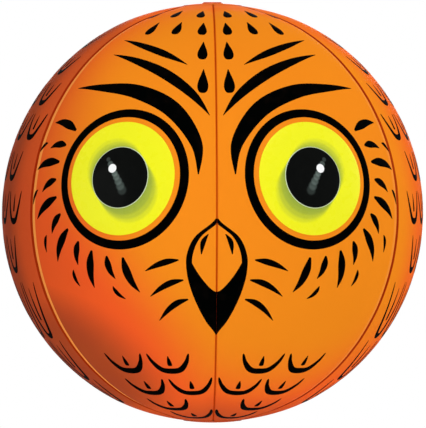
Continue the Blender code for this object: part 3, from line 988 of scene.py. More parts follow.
# Bars across the tail: they sag as a sine of the bearing does.
TAIL_LATITUDES = (-42, -52, -62)
TAIL_BEARINGS = (127, 138, 150, 162, 173)
TAIL_SAG = 2.5
TAIL_WAVE = 3.2
TAIL_HALF_WIDTHS = (0.6, 6.0, 8.5, 7.0, 0.6)
TAIL_STEPS = 60

back = bmesh.new()
for side in (-1, 1):
    for row in range(BACK_ROWS):
        latitude = BACK_TOP - BACK_PITCH * row
        for place in BACK_BEARINGS:
            bearing = side * (place + BACK_STAGGER * (row % 2))
            paint_drop(back, bearing, latitude, BACK_DROP, BACK_DROP_HALF, -BACK_LEAN * side)
    for latitude in TAIL_LATITUDES:
        spine = []
        for bearing in TAIL_BEARINGS:
            sag = TAIL_SAG * math.sin(math.radians(bearing * TAIL_WAVE))
            spine.append(facing(side * bearing, latitude - sag))
        paint_stroke(back, spine, millimetres(TAIL_HALF_WIDTHS), TAIL_STEPS, across=6)
print_piece("print_back", back)

# %% [markdown]
# ## The eyes' finish
#
# Each eye is a disc of film moulded with fine upright ribs, so what is printed behind them seems
# to move as one walks by. The ribs show several views at once, so the pupil has faint olive
# copies that slide away from it over the yellow. Real lenses would need far more faces than the
# ball has, and a wave in the surface with copies in the colour gives the same look.

# %% Set up coordinates across an eye
def eye_turn(side):
    """Rotation whose +Z points out of an eye, with its +Y upwards."""
    centre = facing(side * EYE_BEARING, EYE_LIFT)
    up = (UP - centre * centre.z).normalized()
    return Matrix((up.cross(centre), up, centre)).transposed()


def eye_place(finish, side):
    """Coordinates across one eye, in metres: X to the viewer's right, Y up."""
    return finish.place(rotation=eye_turn(side).to_euler())


print("the eyes point", EYE_BEARING, "degrees aside and", EYE_LIFT, "up")

# %% Mix the ribbed film
YELLOW = (0.90, 0.90, 0.010)
WARM_YELLOW = (0.95, 0.87, 0.013)
OLIVE = (0.28, 0.38, 0.045)
WARM_RIM = (0.060, EYE_RADIUS, 0.0, 0.25)
# How far each faint copy of the pupil slides outwards and up from it, and how strong it is.
SHADES = (
    (-0.025, 0.28),
    (-0.019, 0.45),
    (-0.012, 0.6),
    (-0.006, 0.5),
    (0.005, 0.45),
    (0.010, 0.4),
    (0.016, 0.22),
)
SLIDE_OUT = 0.6
SLIDE_UP = 0.8
SHADE_INNER = PUPIL_RADIUS - 0.003
SHADE_OUTER = PUPIL_RADIUS + 0.002
RIBS = 260.0


def film_finish(side, name):
    film = Finish("lens_film_" + name, "yellow_lens_film", Roughness=0.3, Specular_IOR_Level=0.16)
    where = eye_place(film, side)
    yellow = film.blend(film.spread(film.off_axis(where), *WARM_RIM), YELLOW, WARM_YELLOW)
    for slide, strength in SHADES:
        off_shade = film.off_axis(where, SLIDE_OUT * slide * side, SLIDE_UP * slide)
        shade = film.spread(off_shade, SHADE_INNER, SHADE_OUTER, strength, 0.0)
        yellow = film.blend(shade, yellow, OLIVE)
    film.feed("Base Color", yellow)
    moulding = {"Vector": where, "Scale": RIBS, "Distortion": 0.0}
    ribs = film.node("TexWave", moulding, wave_type="BANDS", bands_direction="X").outputs["Fac"]
    film.feed("Normal", film.relief(ribs, depth=0.00005, strength=0.5))
    film.feed("Roughness", film.wander(film.speckle(where, scale=90), start=0.24, end=0.36))
    return film


films = {name: film_finish(side, name) for side, name in SIDES}

# %% [markdown]
# The pupil is black with a painted white glint, a painted highlight. The glint repeats in a row
# of pale, blurred copies that trail away above and below it, painted reflections as well, and a
# thin pale rim ends the black. The glint could be left to a lamp, but a reflection moves as the
# ball turns, and a painted one stays in its place.

# %% Mix the pupil
PUPIL_BLACK = (0.0012, 0.0016, 0.0014)
PUPIL_GREY = (0.003, 0.0035, 0.003)
VEIL = (0.20, 0.26, 0.235)
WHITE_GLINT = (0.97, 0.98, 0.98)
PALE_RIM = (0.66, 0.76, 0.50)
# Each painted pale copy of the glint: how far out and up from the pupil's middle, its radius, how
# strong it is.
PAINTED_GLINT_COPIES = (
    (0.0195, 0.0255, 0.0040, 0.16),
    (0.0155, 0.0190, 0.0052, 0.34),
    (0.0070, 0.0050, 0.0056, 0.50),
    (0.0040, 0.0000, 0.0062, 0.40),
    (0.0005, -0.0060, 0.0070, 0.34),
    (-0.0030, -0.0125, 0.0078, 0.24),
    (-0.0060, -0.0185, 0.0084, 0.12),
)
GHOST_CORE_SHARE = 0.55
GLINT_OUT = 0.0115
GLINT_UP = 0.0125
GLINT_FADE = (0.0058, 0.0068, 1.0, 0.0)
RIM_FADE = (0.0430, 0.0434)


def pupil_finish(side, name):
    pupil = Finish("pupil_" + name, "black_gloss", Roughness=0.12, Specular_IOR_Level=0.03)
    where = eye_place(pupil, side)
    look = pupil.blend(pupil.speckle(where, scale=90), PUPIL_BLACK, PUPIL_GREY)
    # Painted reflections: pale copies of the glint, and then the painted glint itself.
    for x, y, size, strength in PAINTED_GLINT_COPIES:
        off_ghost = pupil.off_axis(where, x * side, y)
        veil = pupil.spread(off_ghost, size * GHOST_CORE_SHARE, size, strength, 0.0)
        look = pupil.blend(veil, look, VEIL)
    glint = pupil.spread(pupil.off_axis(where, GLINT_OUT * side, GLINT_UP), *GLINT_FADE)
    look = pupil.blend(glint, look, WHITE_GLINT)
    rim = pupil.spread(pupil.off_axis(where), *RIM_FADE)
    pupil.feed("Base Color", pupil.blend(rim, look, PALE_RIM))
    pupil.feed("Roughness", pupil.wander(pupil.speckle(where, scale=160), start=0.10, end=0.17))
    return pupil


pupils = {name: pupil_finish(side, name) for side, name in SIDES}

# %% [markdown]
# ## Round pieces
#
# The eyes, the patches, the eyelet and the valve are all round, so each is a profile spun about
# its axis. Moulded vinyl has no knife edges: one helper swaps each corner of a profile for a short
# curve before it is spun, which gives the edge a real radius instead of a shaded one.

# %% Round a profile and spin it
SPIN_MERGE = 2e-6
# A corner's curve takes up no more than this share of the line on either side of it.
CORNER_SHARE = 0.45


def softened(points, radius, steps=3, closed=True):
    """The profile with each corner swapped for a small curve of about that radius."""
    made = []
    count = len(points)
    for index, corner in enumerate(points):
        corner = Vector(corner)
        if not closed and index in (0, count - 1):
            made.append(corner)
            continue
        back = Vector(points[index - 1]) - corner
        ahead = Vector(points[(index + 1) % count]) - corner
        start = corner + back.normalized() * min(radius, back.length * CORNER_SHARE)
        end = corner + ahead.normalized() * min(radius, ahead.length * CORNER_SHARE)
        for step in range(steps + 1):
            share = step / steps
            pull = 2 * share * (1 - share)
            made.append((1 - share) ** 2 * start + pull * corner + share**2 * end)
    return made


def spun(profile, steps, closed=True):
    """A solid turned about Z from a profile of (distance off axis, height)."""
    bm = bmesh.new()
    points = [bm.verts.new((x, 0, z)) for x, z in profile]
    for first, second in zip(points, points[1:]):
        bm.edges.new((first, second))
    if closed:
        bm.edges.new((points[-1], points[0]))
    bmesh.ops.spin(
        bm,
        geom=bm.verts[:] + bm.edges[:],
        axis=(0, 0, 1),
        angle=math.tau,
        steps=steps,
        use_merge=True,
    )
    bmesh.ops.remove_doubles(bm, verts=bm.verts, dist=SPIN_MERGE)
    bmesh.ops.recalc_face_normals(bm, faces=bm.faces)
    return bm


def lifted(bm, x, y, z):
    """The same bmesh, moved."""
    bmesh.ops.translate(bm, vec=(x, y, z), verts=bm.verts)
    return bm


print("profiles can be rounded and spun")

# %% [markdown]
# ## The eyes' shape
#
# The real film is a flat disc that is pressed onto the inflated ball, and the pupil is a domed
# drop of clear resin over black. Each starts as a spun cap, whose rings stay round, and every
# point is then set at its height over the skin below it. A flat disc wouldn't follow the ball,
# and a projected one would stretch at its edge.

# %% Press the films and pupils onto the skin
FILM_LIFT = 0.00022
FILM_TOP = FILM_LIFT + 0.0004
FILM_EDGE = 0.0002
FILM_RINGS = 16
FILM_STEPS = 128
PUPIL_SEAT = FILM_TOP + 0.00004
PUPIL_TOP = PUPIL_SEAT + 0.0006
PUPIL_DOME = 0.0008
PUPIL_EDGE = 0.0005
PUPIL_RINGS = 14
PUPIL_STEPS = 96
EDGE_STEPS = 5
UNDER_RINGS = 6


def pressed_cap(side, profile, steps):
    """A closed cap on an eye's axis, each point at its height over the skin."""
    bm = spun(profile, steps, closed=False)
    turn = eye_turn(side)
    for vert in bm.verts:
        height = vert.co.z
        deep = math.sqrt(BALL_RADIUS**2 - math.hypot(vert.co.x, vert.co.y) ** 2)
        direction = (turn @ Vector((vert.co.x, vert.co.y, deep))).normalized()
        vert.co = direction * (skin_radius(direction) + height)
    bmesh.ops.recalc_face_normals(bm, faces=bm.faces)
    return bm


def cap_profile(radius, low, high, dome, edge, rings):
    """From the middle of the top, over a rounded edge, and back under to the middle."""
    profile = []
    for ring in range(rings + 1):
        share = ring / rings
        profile.append(((radius - edge) * share, high + dome * (1 - share**2)))
    for step in range(1, EDGE_STEPS + 1):
        angle = math.pi / 2 * step / EDGE_STEPS
        out, down = edge * math.sin(angle), edge * (1 - math.cos(angle))
        profile.append((radius - edge + out, high - down))
    return profile + [(radius * (1 - ring / UNDER_RINGS), low) for ring in range(UNDER_RINGS + 1)]


film_profile = cap_profile(EYE_RADIUS, FILM_LIFT, FILM_TOP, 0.0, FILM_EDGE, FILM_RINGS)
pupil_profile = cap_profile(
    PUPIL_RADIUS, PUPIL_SEAT, PUPIL_TOP, PUPIL_DOME, PUPIL_EDGE, PUPIL_RINGS
)
for side, name in SIDES:
    film = pressed_cap(side, film_profile, FILM_STEPS)
    make_piece("lens_film_" + name, film, films[name], "ball", "eye_film_" + name)
    pupil = pressed_cap(side, pupil_profile, PUPIL_STEPS)
    make_piece("domed_pupil_" + name, pupil, pupils[name], "ball", "pupil_lens_" + name)

# %% [markdown]
# ## The patches over the poles
#
# Six pointed petals can't be welded neatly at one point, so a disc covers each pole. Its weld is
# a pressed ring a few millimetres in from the edge, and the petals' seams show through the thin
# disc as faint radiating grooves. The bottom one has a hole for the valve, welded round the same
# way. A grid could carry the grooves as well, but a spun profile gives true rings.

# %% Make both patches
PATCH_LOW = 0.0003
PATCH_HIGH = 0.0007
PATCH_ROUNDING = 0.00015
PATCH_CELL = 0.0022
PATCH_STEPS = 144
# Each pressed ring: where it starts and ends, off axis.
WELD_RING = (0.0335, 0.0385)
HOLE_WELD_RING = (0.0162, 0.0205)
WELD_SINK = 0.00018
SHOULDER = 0.0004
RECESS_RADIUS = 0.015
# The petals' seams under the disc: their grooves start past the tips and then deepen.
SHOWN_SEAM_DEPTH = 0.00014
SHOWN_SEAM_WIDTH = 0.0011
SHOWN_SEAM_START = 0.006
SHOWN_SEAM_FADE = 0.008


def pressed_face(hole, rings):
    """The outer face's points, from the hole or the middle to the edge."""
    pressed_level = PATCH_HIGH - WELD_SINK
    points = [(hole, PATCH_HIGH)]
    for start, end in rings:
        points += [(start - SHOULDER, PATCH_HIGH), (start, pressed_level)]
        points += [((start + end) / 2, pressed_level), (end, pressed_level)]
        points += [(end + SHOULDER, PATCH_HIGH)]
    points.append((PATCH_RADIUS, PATCH_HIGH))
    return points


def filled(points, longest):
    """Adds points to a profile so that none of its steps is longer than the given length."""
    made = []
    for first, second in zip(points, points[1:]):
        steps = max(1, math.ceil((Vector(second) - Vector(first)).length / longest))
        made += [Vector(first).lerp(Vector(second), step / steps) for step in range(steps)]
    return made + [Vector(points[-1])]


def pole_patch(up, hole, rings):
    """A disc on the top pole, or on the bottom one where up is -1."""
    face = softened(pressed_face(hole, rings), PATCH_ROUNDING, closed=False)
    profile = face + [(PATCH_RADIUS, PATCH_LOW), (hole, PATCH_LOW)]
    bm = spun(filled(profile, PATCH_CELL), PATCH_STEPS, closed=hole > 0)
    for vert in bm.verts:
        flat = vert.co.xy.length
        turn = math.atan2(vert.co.y, vert.co.x)
        off_middle = abs((turn + 2 * HALF_GORE) % (2 * HALF_GORE) - HALF_GORE)
        from_seam = flat * (HALF_GORE - off_middle)
        groove = SHOWN_SEAM_DEPTH * math.exp(-((from_seam / SHOWN_SEAM_WIDTH) ** 2))
        groove *= ease((flat - SHOWN_SEAM_START) / SHOWN_SEAM_FADE)
        radius = POLE_RADIUS + vert.co.z - groove
        height = math.sqrt(POLE_RADIUS**2 - flat**2)
        vert.co = Vector((vert.co.x, up * vert.co.y, up * height)).normalized() * radius
    bmesh.ops.recalc_face_normals(bm, faces=bm.faces)
    return bm


make_piece("top_disc", pole_patch(1, 0, [WELD_RING]), vinyl, "ball", "top_patch")
holed_disc = pole_patch(-1, RECESS_RADIUS, [HOLE_WELD_RING, WELD_RING])
make_piece("bottom_disc", holed_disc, vinyl, "ball", "bottom_patch")

# %% [markdown]
# ## The foot of the hang tab
#
# A small sheet with round corners is welded on the top disc, and its own welded border shows as a
# pressed frame. Across its middle runs the ridge that holds the tab's root. A grid is drawn onto
# the outline ring by ring, which keeps its rows parallel to the edge, so the pressed border is
# only a matter of how far in from the edge a point lies.

# %% Press a welded border
BORDER_WELD = (0.0010, 0.0028)
BORDER_SINK = 0.00013
NEARLY_ZERO = 1e-9


def pressed(inset):
    """How deep a welded border is pressed at a distance from the sheet's edge."""
    start, end = BORDER_WELD
    rise = ease((inset - start) / SHOULDER + 0.5)
    return BORDER_SINK * rise * (1 - ease((inset - end) / SHOULDER + 0.5))


def box_edge(ray, half_x, half_y, corner):
    """How far a ray from the middle runs to the edge of a rectangle with round corners."""
    across, ahead = max(abs(ray.x), NEARLY_ZERO), max(abs(ray.y), NEARLY_ZERO)
    reach = min(half_x / across, half_y / ahead)
    inner = Vector((half_x - corner, half_y - corner))
    if abs(ray.x) * reach > inner.x and abs(ray.y) * reach > inner.y:
        middle = Vector((math.copysign(inner.x, ray.x), math.copysign(inner.y, ray.y)))
        near = ray.dot(middle)
        reach = near + math.sqrt(near**2 - middle.length_squared + corner**2)
    return reach


print("welded borders are", round((BORDER_WELD[1] - BORDER_WELD[0]) * 1000, 1), "mm wide")

# %% Make the foot
FOOT_HALF = half_size("hang_tab_foot")
FOOT_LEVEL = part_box("hang_tab_foot")[1].z
FOOT_CORNER = 0.004
FOOT_WALL = 0.0004
FOOT_CELLS = 64
FOOT_CROWDING = 0.9
# A point closer to the grid's middle than this has no direction of its own.
NO_DIRECTION = 1e-6
TAB_WIDTH = 2 * half_size("hang_tab").x
RIDGE_HALF_WIDTH = 0.0014
RIDGE_HEIGHT = 0.0004

foot = bmesh.new()
bmesh.ops.create_grid(foot, x_segments=FOOT_CELLS, y_segments=FOOT_CELLS, size=1)
for vert in foot.verts:
    share = max(abs(vert.co.x), abs(vert.co.y))
    share_out = math.sin(share * math.pi / 2) ** FOOT_CROWDING
    ray = vert.co.xy.normalized() if share > NO_DIRECTION else Vector((1, 0))
    reach = box_edge(ray, FOOT_HALF.x, FOOT_HALF.y, FOOT_CORNER)
    x, y = ray * reach * share_out
    inset = reach * (1 - share_out) * max(abs(ray.x), abs(ray.y))
    ridge = 0.0
    if abs(x) < TAB_WIDTH / 2:
        ridge = RIDGE_HEIGHT * max(0, 1 - (y / RIDGE_HALF_WIDTH) ** 2)
    height = FOOT_LEVEL - pressed(inset) + ridge
    vert.co = (x, y, math.sqrt(height**2 - x**2 - y**2))
face_outwards(foot)
make_piece("tab_foot_sheet", foot, vinyl, "ball", "hang_tab_foot", wall=(FOOT_WALL, -1))

# %% [markdown]
# ## The hang tab
#
# The tab is die-cut from doubled sheet and lies back on the ball until a cord lifts it. It grows
# from its hole: a circle of edges is extruded outwards ring by ring, and each ring is set on an
# outline of a straight-sided tongue with a round end. Cutting the hole out of a flat sheet would
# be shorter, but its corners would shade badly where the border is pressed.

# %% Grow the tab from its hole
TAB_WALL = 0.0007
TAB_HOLE = 0.0063
TAB_STEPS = 144
TAB_EDGE = 0.00012
TAB_EDGE_ANGLE = math.radians(60)
# A flat collar round the hole, ring by ring, and then rings drawn in from the edge.
COLLAR = 0.0029
COLLAR_SHARES = (0.35, 0.7, 1)
TAB_INSETS = millimetres((3.6, 3.2, 3.0, 2.8, 2.6, 2.2, 1.4, 1.2, 1.0, 0.8, 0.3, 0))
# A faint ripple in the tongue, which the eyelet and the root hold flat round themselves.
RIPPLE_DEPTH = 0.00022
RIPPLES = 90
RIPPLE_LEVEL = 3.1
HELD_BY_EYELET = 0.0095
EYELET_FADE = 0.004
ROOT_FADE = 0.006


def tongue_edge(ray, inset):
    """How far a ray from the eyelet's middle runs to the tab's edge, drawn in by inset."""
    half = TAB_WIDTH / 2 - inset
    if ray.y >= 0:
        return half
    return min(half / max(abs(ray.x), NEARLY_ZERO), (TAB_REACH - inset) / abs(ray.y))


def grow_ring(bm, edges, reach_of, level):
    """Extrudes a ring of edges out to its new outline, and gives the ring's new edges."""
    made = bmesh.ops.extrude_edge_only(bm, edges=edges)["geom"]
    for vert in made:
        if isinstance(vert, bmesh.types.BMVert):
            ray = vert.co.xy.normalized()
            x, y = ray * reach_of(ray)
            vert.co = (x, y, level)
    return [edge for edge in made if isinstance(edge, bmesh.types.BMEdge) and edge.is_boundary]


tab = bmesh.new()
bmesh.ops.create_circle(tab, segments=TAB_STEPS, radius=TAB_HOLE)
edges = tab.edges[:]
for share in COLLAR_SHARES:
    edges = grow_ring(tab, edges, lambda ray: TAB_HOLE + COLLAR * share, 0.0)
for inset in TAB_INSETS:
    edges = grow_ring(tab, edges, lambda ray: tongue_edge(ray, inset), -pressed(inset))
for vert in tab.verts:
    x, y, z = vert.co
    free = ease((vert.co.xy.length - HELD_BY_EYELET) / EYELET_FADE)
    free *= ease((y + TAB_REACH) / ROOT_FADE)
    ripple = RIPPLE_DEPTH * noise.noise(Vector((x * RIPPLES, y * RIPPLES, RIPPLE_LEVEL))) * free
    vert.co = (x, y + TAB_REACH, z + FOLD_LEVEL + ripple)
tab.normal_update()
bmesh.ops.reverse_faces(tab, faces=[face for face in tab.faces if face.normal.z < 0])
tongue = make_piece("tab_tongue", tab, vinyl, "tab", "hang_tab", wall=(TAB_WALL, 0))
edge_round = tongue.modifiers.new("Edge", "BEVEL")
edge_round.width = TAB_EDGE
edge_round.segments = 2
edge_round.limit_method = "ANGLE"
edge_round.angle_limit = TAB_EDGE_ANGLE

# %% [markdown]
# The tab's root is a rolled bead that turns on the foot's ridge, so the fold needs no bending
# mesh: a rod with soft ends, spun upright and then laid across.

# %% Lay the rolled root
ROOT_RADIUS = 0.0005
ROOT_LENGTH = TAB_WIDTH - 0.0006
ROOT_ROUNDING = 0.0003
ROOT_STEPS = 24

half = ROOT_LENGTH / 2
rod = [(0, half), (ROOT_RADIUS, half), (ROOT_RADIUS, -half), (0, -half)]
root = spun(softened(rod, ROOT_ROUNDING, closed=False), ROOT_STEPS, closed=False)
bmesh.ops.rotate(root, matrix=Matrix.Rotation(math.pi / 2, 3, "Y"), verts=root.verts)
make_piece("tab_root", lifted(root, 0, 0, FOLD_LEVEL), vinyl, "tab", "hang_tab")

# %% [markdown]
# ## The eyelet
#
# A nickel-plated eyelet is a drawn tube whose end is rolled over a washer. The rolled face is
# domed and its rim curls back onto the vinyl, and the far side ends in a washer with a small
# step. Two rings and a tube could be joined, but one profile for all of it has no joints to hide.

# %% Turn the eyelet
EYELET_BORE = 0.005
EYELET_NECK = 0.006
EYELET_RADIUS = half_size("tab_eyelet").x
EYELET_FACE = half_size("tab_eyelet").z
EYELET_GRIP = 0.00036
EYELET_ROUNDING = 0.0003
EYELET_STEPS = 96
# Both as (distance off axis, height). The tab's sheet lies between them.
ROLLED_FACE = (
    (EYELET_BORE, 0.0002),
    (EYELET_BORE, 0.00085),
    (0.0056, EYELET_FACE),
    (0.0070, EYELET_FACE),
    (0.0082, 0.00098),
    (EYELET_RADIUS, 0.00072),
    (EYELET_RADIUS, 0.00045),
    (0.0086, EYELET_GRIP),
    (EYELET_NECK, EYELET_GRIP),
)
WASHER = (
    (EYELET_NECK, -EYELET_GRIP),
    (EYELET_RADIUS, -EYELET_GRIP),
    (EYELET_RADIUS, -0.00072),
    (0.0074, -0.00078),
    (0.0073, -EYELET_FACE),
    (0.0056, -EYELET_FACE),
    (EYELET_BORE, -0.00085),
    (EYELET_BORE, -0.0002),
)

eyelet = spun(softened(ROLLED_FACE + WASHER, EYELET_ROUNDING, steps=4), EYELET_STEPS)
make_piece("rolled_eyelet", lifted(eyelet, 0, TAB_REACH, FOLD_LEVEL), nickel, "tab", "tab_eyelet")

# %% [markdown]
# ## The air valve
#
# The valve is drawn pointing up and then turned over onto the bottom pole. Its flange is welded
# inside the disc, a soft cone joins the flange to the stem, and the plug hangs on a short strap.
# Squeezed and pushed in, the stem turns the cone inside out and the plug lies just below the
# ball's surface.

# %% Set the valve's sizes
VALVE_BORE = 0.003
VALVE_STEPS = 72
TUBE_RADIUS = 0.0045
LIP_RADIUS = half_size("valve_stem").x
CAP_RADIUS = half_size("valve_plug").x
STEM_LENGTH = 2 * half_size("valve_stem").z
STRAP_WIDTH = 0.005
# The plug turns on a hinge level with the stem's mouth, this far from the stem's axis.
STEM_MOUTH = -hinges["plug_swing"][2]
PLUG_REACH = hinges["plug_swing"][1]


def turned_over(bm, level=0.0):
    """Lifts a valve piece to its level and turns it over onto the bottom pole."""
    lifted(bm, 0, 0, level)
    bmesh.ops.rotate(bm, matrix=Matrix.Rotation(math.pi, 3, "X"), verts=bm.verts)
    return bm


def add_block(bm, size, middle, rounding):
    """Adds a small moulded block with rounded edges to bm."""
    block = bmesh.new()
    bmesh.ops.create_cube(block, matrix=Matrix.Diagonal((*size, 1)))
    bmesh.ops.bevel(
        block,
        geom=block.edges[:],
        offset=rounding,
        segments=3,
        profile=0.5,
        affect="EDGES",
        material=-1,
    )
    holder = bpy.data.meshes.new("holder")
    lifted(block, *middle).to_mesh(holder)
    block.free()
    bm.from_mesh(holder)
    bpy.data.meshes.remove(holder)


print("valve mouth at", -STEM_MOUTH, "m")

# %% [markdown]
# The flange follows the ball's curve, so its flat profile is bent onto the sphere like the discs.
# The boot is the same at heart: a thin line turned round, with faint folds where the soft cone
# gave way as it was pushed in. It joins the ball to the stem.

# %% Make the flange and the boot
FLANGE_INNER = 0.0145
FLANGE_OUTER = half_size("valve_flange").x
FLANGE_TOP = 0.3030
FLANGE_FOOT = 0.3020
FLANGE_ROUNDING = 0.00025
FLANGE_WALL = FLANGE_TOP - FLANGE_FOOT
# The flange is thinner past its collar.
FLANGE_COLLAR = FLANGE_INNER + 0.0012
FLANGE_STEP = 0.0172
FLANGE_THIN = FLANGE_WALL * 0.9
BOOT_WALL = 0.0005
BOOT_DEEP = 0.295229
BOOT_HIGH = 0.302152
BOOT_OUTER = 0.01448
BOOT_INNER = 0.00502
BOOT_ROWS = 24
BOOT_FOLDS = 7
BOOT_FOLD_DEPTH = 0.00016

ring = [(FLANGE_INNER, FLANGE_WALL), (FLANGE_COLLAR, FLANGE_WALL), (FLANGE_STEP, FLANGE_THIN)]
ring += [(FLANGE_OUTER, FLANGE_THIN), (FLANGE_OUTER, 0), (FLANGE_INNER, 0)]
flange = spun(softened(ring, FLANGE_ROUNDING), PATCH_STEPS)
for vert in flange.verts:
    flat = vert.co.xy.length
    vert.co.z = math.sqrt((FLANGE_FOOT + vert.co.z) ** 2 - flat**2)
make_piece("inner_flange", turned_over(flange), milky, "ball", "valve_flange")

boot_line = []
for row in range(BOOT_ROWS + 1):
    share = row / BOOT_ROWS
    fold = BOOT_FOLD_DEPTH * math.sin(share * math.pi * BOOT_FOLDS) * math.sin(share * math.pi)
    rise = BOOT_DEEP + (BOOT_HIGH - BOOT_DEEP) * ease(share) + fold
    boot_line.append((BOOT_INNER + (BOOT_OUTER - BOOT_INNER) * share, rise))
outside = [(x, z + BOOT_WALL / 2) for x, z in boot_line]
inside = [(x, z - BOOT_WALL / 2) for x, z in reversed(boot_line)]
boot = turned_over(spun(outside + inside, VALVE_STEPS))
boot_piece = make_piece("boot_cone", boot, milky, None, "valve_boot")
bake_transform(boot_piece)

# %% [markdown]
# The stem is a plain tube inside and out, with a lip to seat the plug, a bead to hold the cone
# and a chamfer at its mouth. The ear that holds the strap is a small block of its own, added to
# the turned tube, because it is the one part of the stem that isn't round. The check flap is a
# disc that is cut straight along its hinge.

# %% Make the stem and the check flap
STEM_ROUNDING = 0.00022
MOUTH_RADIUS = 0.0033
MOUTH_CHAMFER = 0.0004
LIP_FOOT = -0.0014
BEAD_RADIUS = 0.0050
BEAD_TOP = -0.0052
BEAD_FOOT = -0.0068
EAR_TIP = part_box("valve_stem")[1].y
EAR_ROOT = (TUBE_RADIUS + LIP_RADIUS) / 2
EAR_THICKNESS = 0.0009
EAR_DROP = 0.0001
EAR_ROUNDING = 0.0002
FLAP_RADIUS = half_size("check_flap").x
FLAP_HINGE = hinges["flap_swing"][1]
FLAP_LEVEL = -hinges["flap_swing"][2]
FLAP_WALL = 0.0004
FLAP_ROUNDING = 0.00008

tube = [(MOUTH_RADIUS, 0), (LIP_RADIUS, 0), (LIP_RADIUS, LIP_FOOT), (TUBE_RADIUS, LIP_FOOT)]
tube += [(TUBE_RADIUS, BEAD_TOP), (BEAD_RADIUS, BEAD_TOP)]
tube += [(BEAD_RADIUS, BEAD_FOOT), (TUBE_RADIUS, BEAD_FOOT), (TUBE_RADIUS, -STEM_LENGTH)]
tube += [(VALVE_BORE, -STEM_LENGTH), (VALVE_BORE, -MOUTH_CHAMFER)]
stem = spun(softened(tube, STEM_ROUNDING), VALVE_STEPS)
ear_size = (STRAP_WIDTH, EAR_TIP - EAR_ROOT, EAR_THICKNESS)
ear_middle = (0, -(EAR_TIP + EAR_ROOT) / 2, -EAR_THICKNESS / 2 - EAR_DROP)
add_block(stem, ear_size, ear_middle, EAR_ROUNDING)
make_piece("stem_tube", turned_over(stem, STEM_MOUTH), milky, "stem", "valve_stem")

disc = [(0, 0), (FLAP_RADIUS, 0), (FLAP_RADIUS, -FLAP_WALL), (0, -FLAP_WALL)]
flap = spun(softened(disc, FLAP_ROUNDING, closed=False), VALVE_STEPS, closed=False)
for vert in flap.verts:
    vert.co.y = max(vert.co.y, -FLAP_HINGE)
make_piece("flap_disc", turned_over(flap, FLAP_LEVEL), milky, "flap", "check_flap")

# %% [markdown]
# The plug is a cap with two raised rings for the thumb and a hollow tapered pin below. Its strap
# and the grip opposite are blocks on the cap's rim, and the grip has three ribs. All of it is
# one moulding on the real valve, so it is one piece here.

# %% Make the plug
CAP_ROUNDING = 0.00018
CAP_LOW = 0.0003
CAP_FACE = 0.0019
CAP_RAISED = 0.0021
# As (distance off axis, height): over the cap, down the pin and up inside it.
CAP_PROFILE = (
    (0, CAP_FACE),
    (0.0022, CAP_FACE),
    (0.0024, CAP_RAISED),
    (0.0030, CAP_RAISED),
    (0.0032, CAP_FACE),
    (0.0044, CAP_FACE),
    (0.0046, CAP_RAISED),
    (0.0058, CAP_RAISED),
    (CAP_RADIUS, 0.0016),
    (CAP_RADIUS, CAP_LOW),
    (0.0027, CAP_LOW),
    (0.0021, -0.0039),
    (0.0012, -0.0039),
    (0.0014, -0.0010),
    (0, -0.0010),
)
STRAP_THICKNESS = 0.0009
STRAP_LEVEL = 0.00085
STRAP_ROOT = 0.0061
STRAP_ROUNDING = 0.0002
GRIP_LENGTH = 0.0035
GRIP_ROUNDING = 0.0003
GRIP_RIB = (STRAP_WIDTH * 0.8, 0.0003, 0.0004)
GRIP_RIB_START = STRAP_ROOT + 0.0012
GRIP_RIB_PITCH = 0.0008
GRIP_RIB_RISE = 0.0004
GRIP_RIB_ROUNDING = 0.0001

plug = spun(softened(CAP_PROFILE, CAP_ROUNDING, closed=False), VALVE_STEPS, closed=False)
strap_size = (STRAP_WIDTH, PLUG_REACH - STRAP_ROOT, STRAP_THICKNESS)
strap_middle = (0, -(PLUG_REACH + STRAP_ROOT) / 2, STRAP_LEVEL)
add_block(plug, strap_size, strap_middle, STRAP_ROUNDING)
grip_size = (STRAP_WIDTH, GRIP_LENGTH, STRAP_THICKNESS)
add_block(plug, grip_size, (0, STRAP_ROOT + GRIP_LENGTH / 2, STRAP_LEVEL), GRIP_ROUNDING)
for rib in range(3):
    rib_middle = (0, GRIP_RIB_START + GRIP_RIB_PITCH * rib, STRAP_LEVEL + GRIP_RIB_RISE)
    add_block(plug, GRIP_RIB, rib_middle, GRIP_RIB_ROUNDING)
make_piece("plug_cap", turned_over(plug, STEM_MOUTH), milky, "plug", "valve_plug")

# %% [markdown]
# The strap's fold is a short strip bent in a half circle about the plug's hinge, between the stem
# and the plug.

# %% Make the strap's fold
FOLD_WALL = 0.0005
FOLD_CELLS = (6, 16)
FOLD_WIDTH = STRAP_WIDTH * 0.9
FOLD_OUT = 0.0006
FOLD_RISE = 0.0007
# The half circle's middle lies this much nearer to the plug than the hinge, and above it.
FOLD_SHIFT = 0.0002

strip = bmesh.new()
columns, rows = FOLD_CELLS
bmesh.ops.create_grid(strip, x_segments=columns, y_segments=rows, size=0.5)
for vert in strip.verts:
    turn = math.pi * vert.co.y
    y = -PLUG_REACH - FOLD_OUT * math.cos(turn) + FOLD_SHIFT
    vert.co = (vert.co.x * FOLD_WIDTH, y, FOLD_SHIFT + FOLD_RISE * math.sin(turn))
bmesh.ops.recalc_face_normals(strip, faces=strip.faces)
strip = turned_over(strip, STEM_MOUTH)
fold = make_piece("strap_fold", strip, milky, None, "valve_plug", wall=(FOLD_WALL, 0))
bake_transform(fold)

# %% [markdown]
# ## Camera
#
# The photograph is taken from so far off that the ball looks the same as in a drawing, from
# just left of the front seam. A very long lens does that and still leaves an ordinary camera.

# %% Set up the camera
CAMERA_DISTANCE = 30 * BALL_RADIUS
CAMERA_BEARING = -1.2
PICTURE_HEIGHT = 428
BALL_PIXELS = 210.5
# The ball's centre lies this many pixels to the left and above the picture's own.
PIXELS_LEFT = 0.5
PIXELS_UP = 1.0
SENSOR_MM = 36

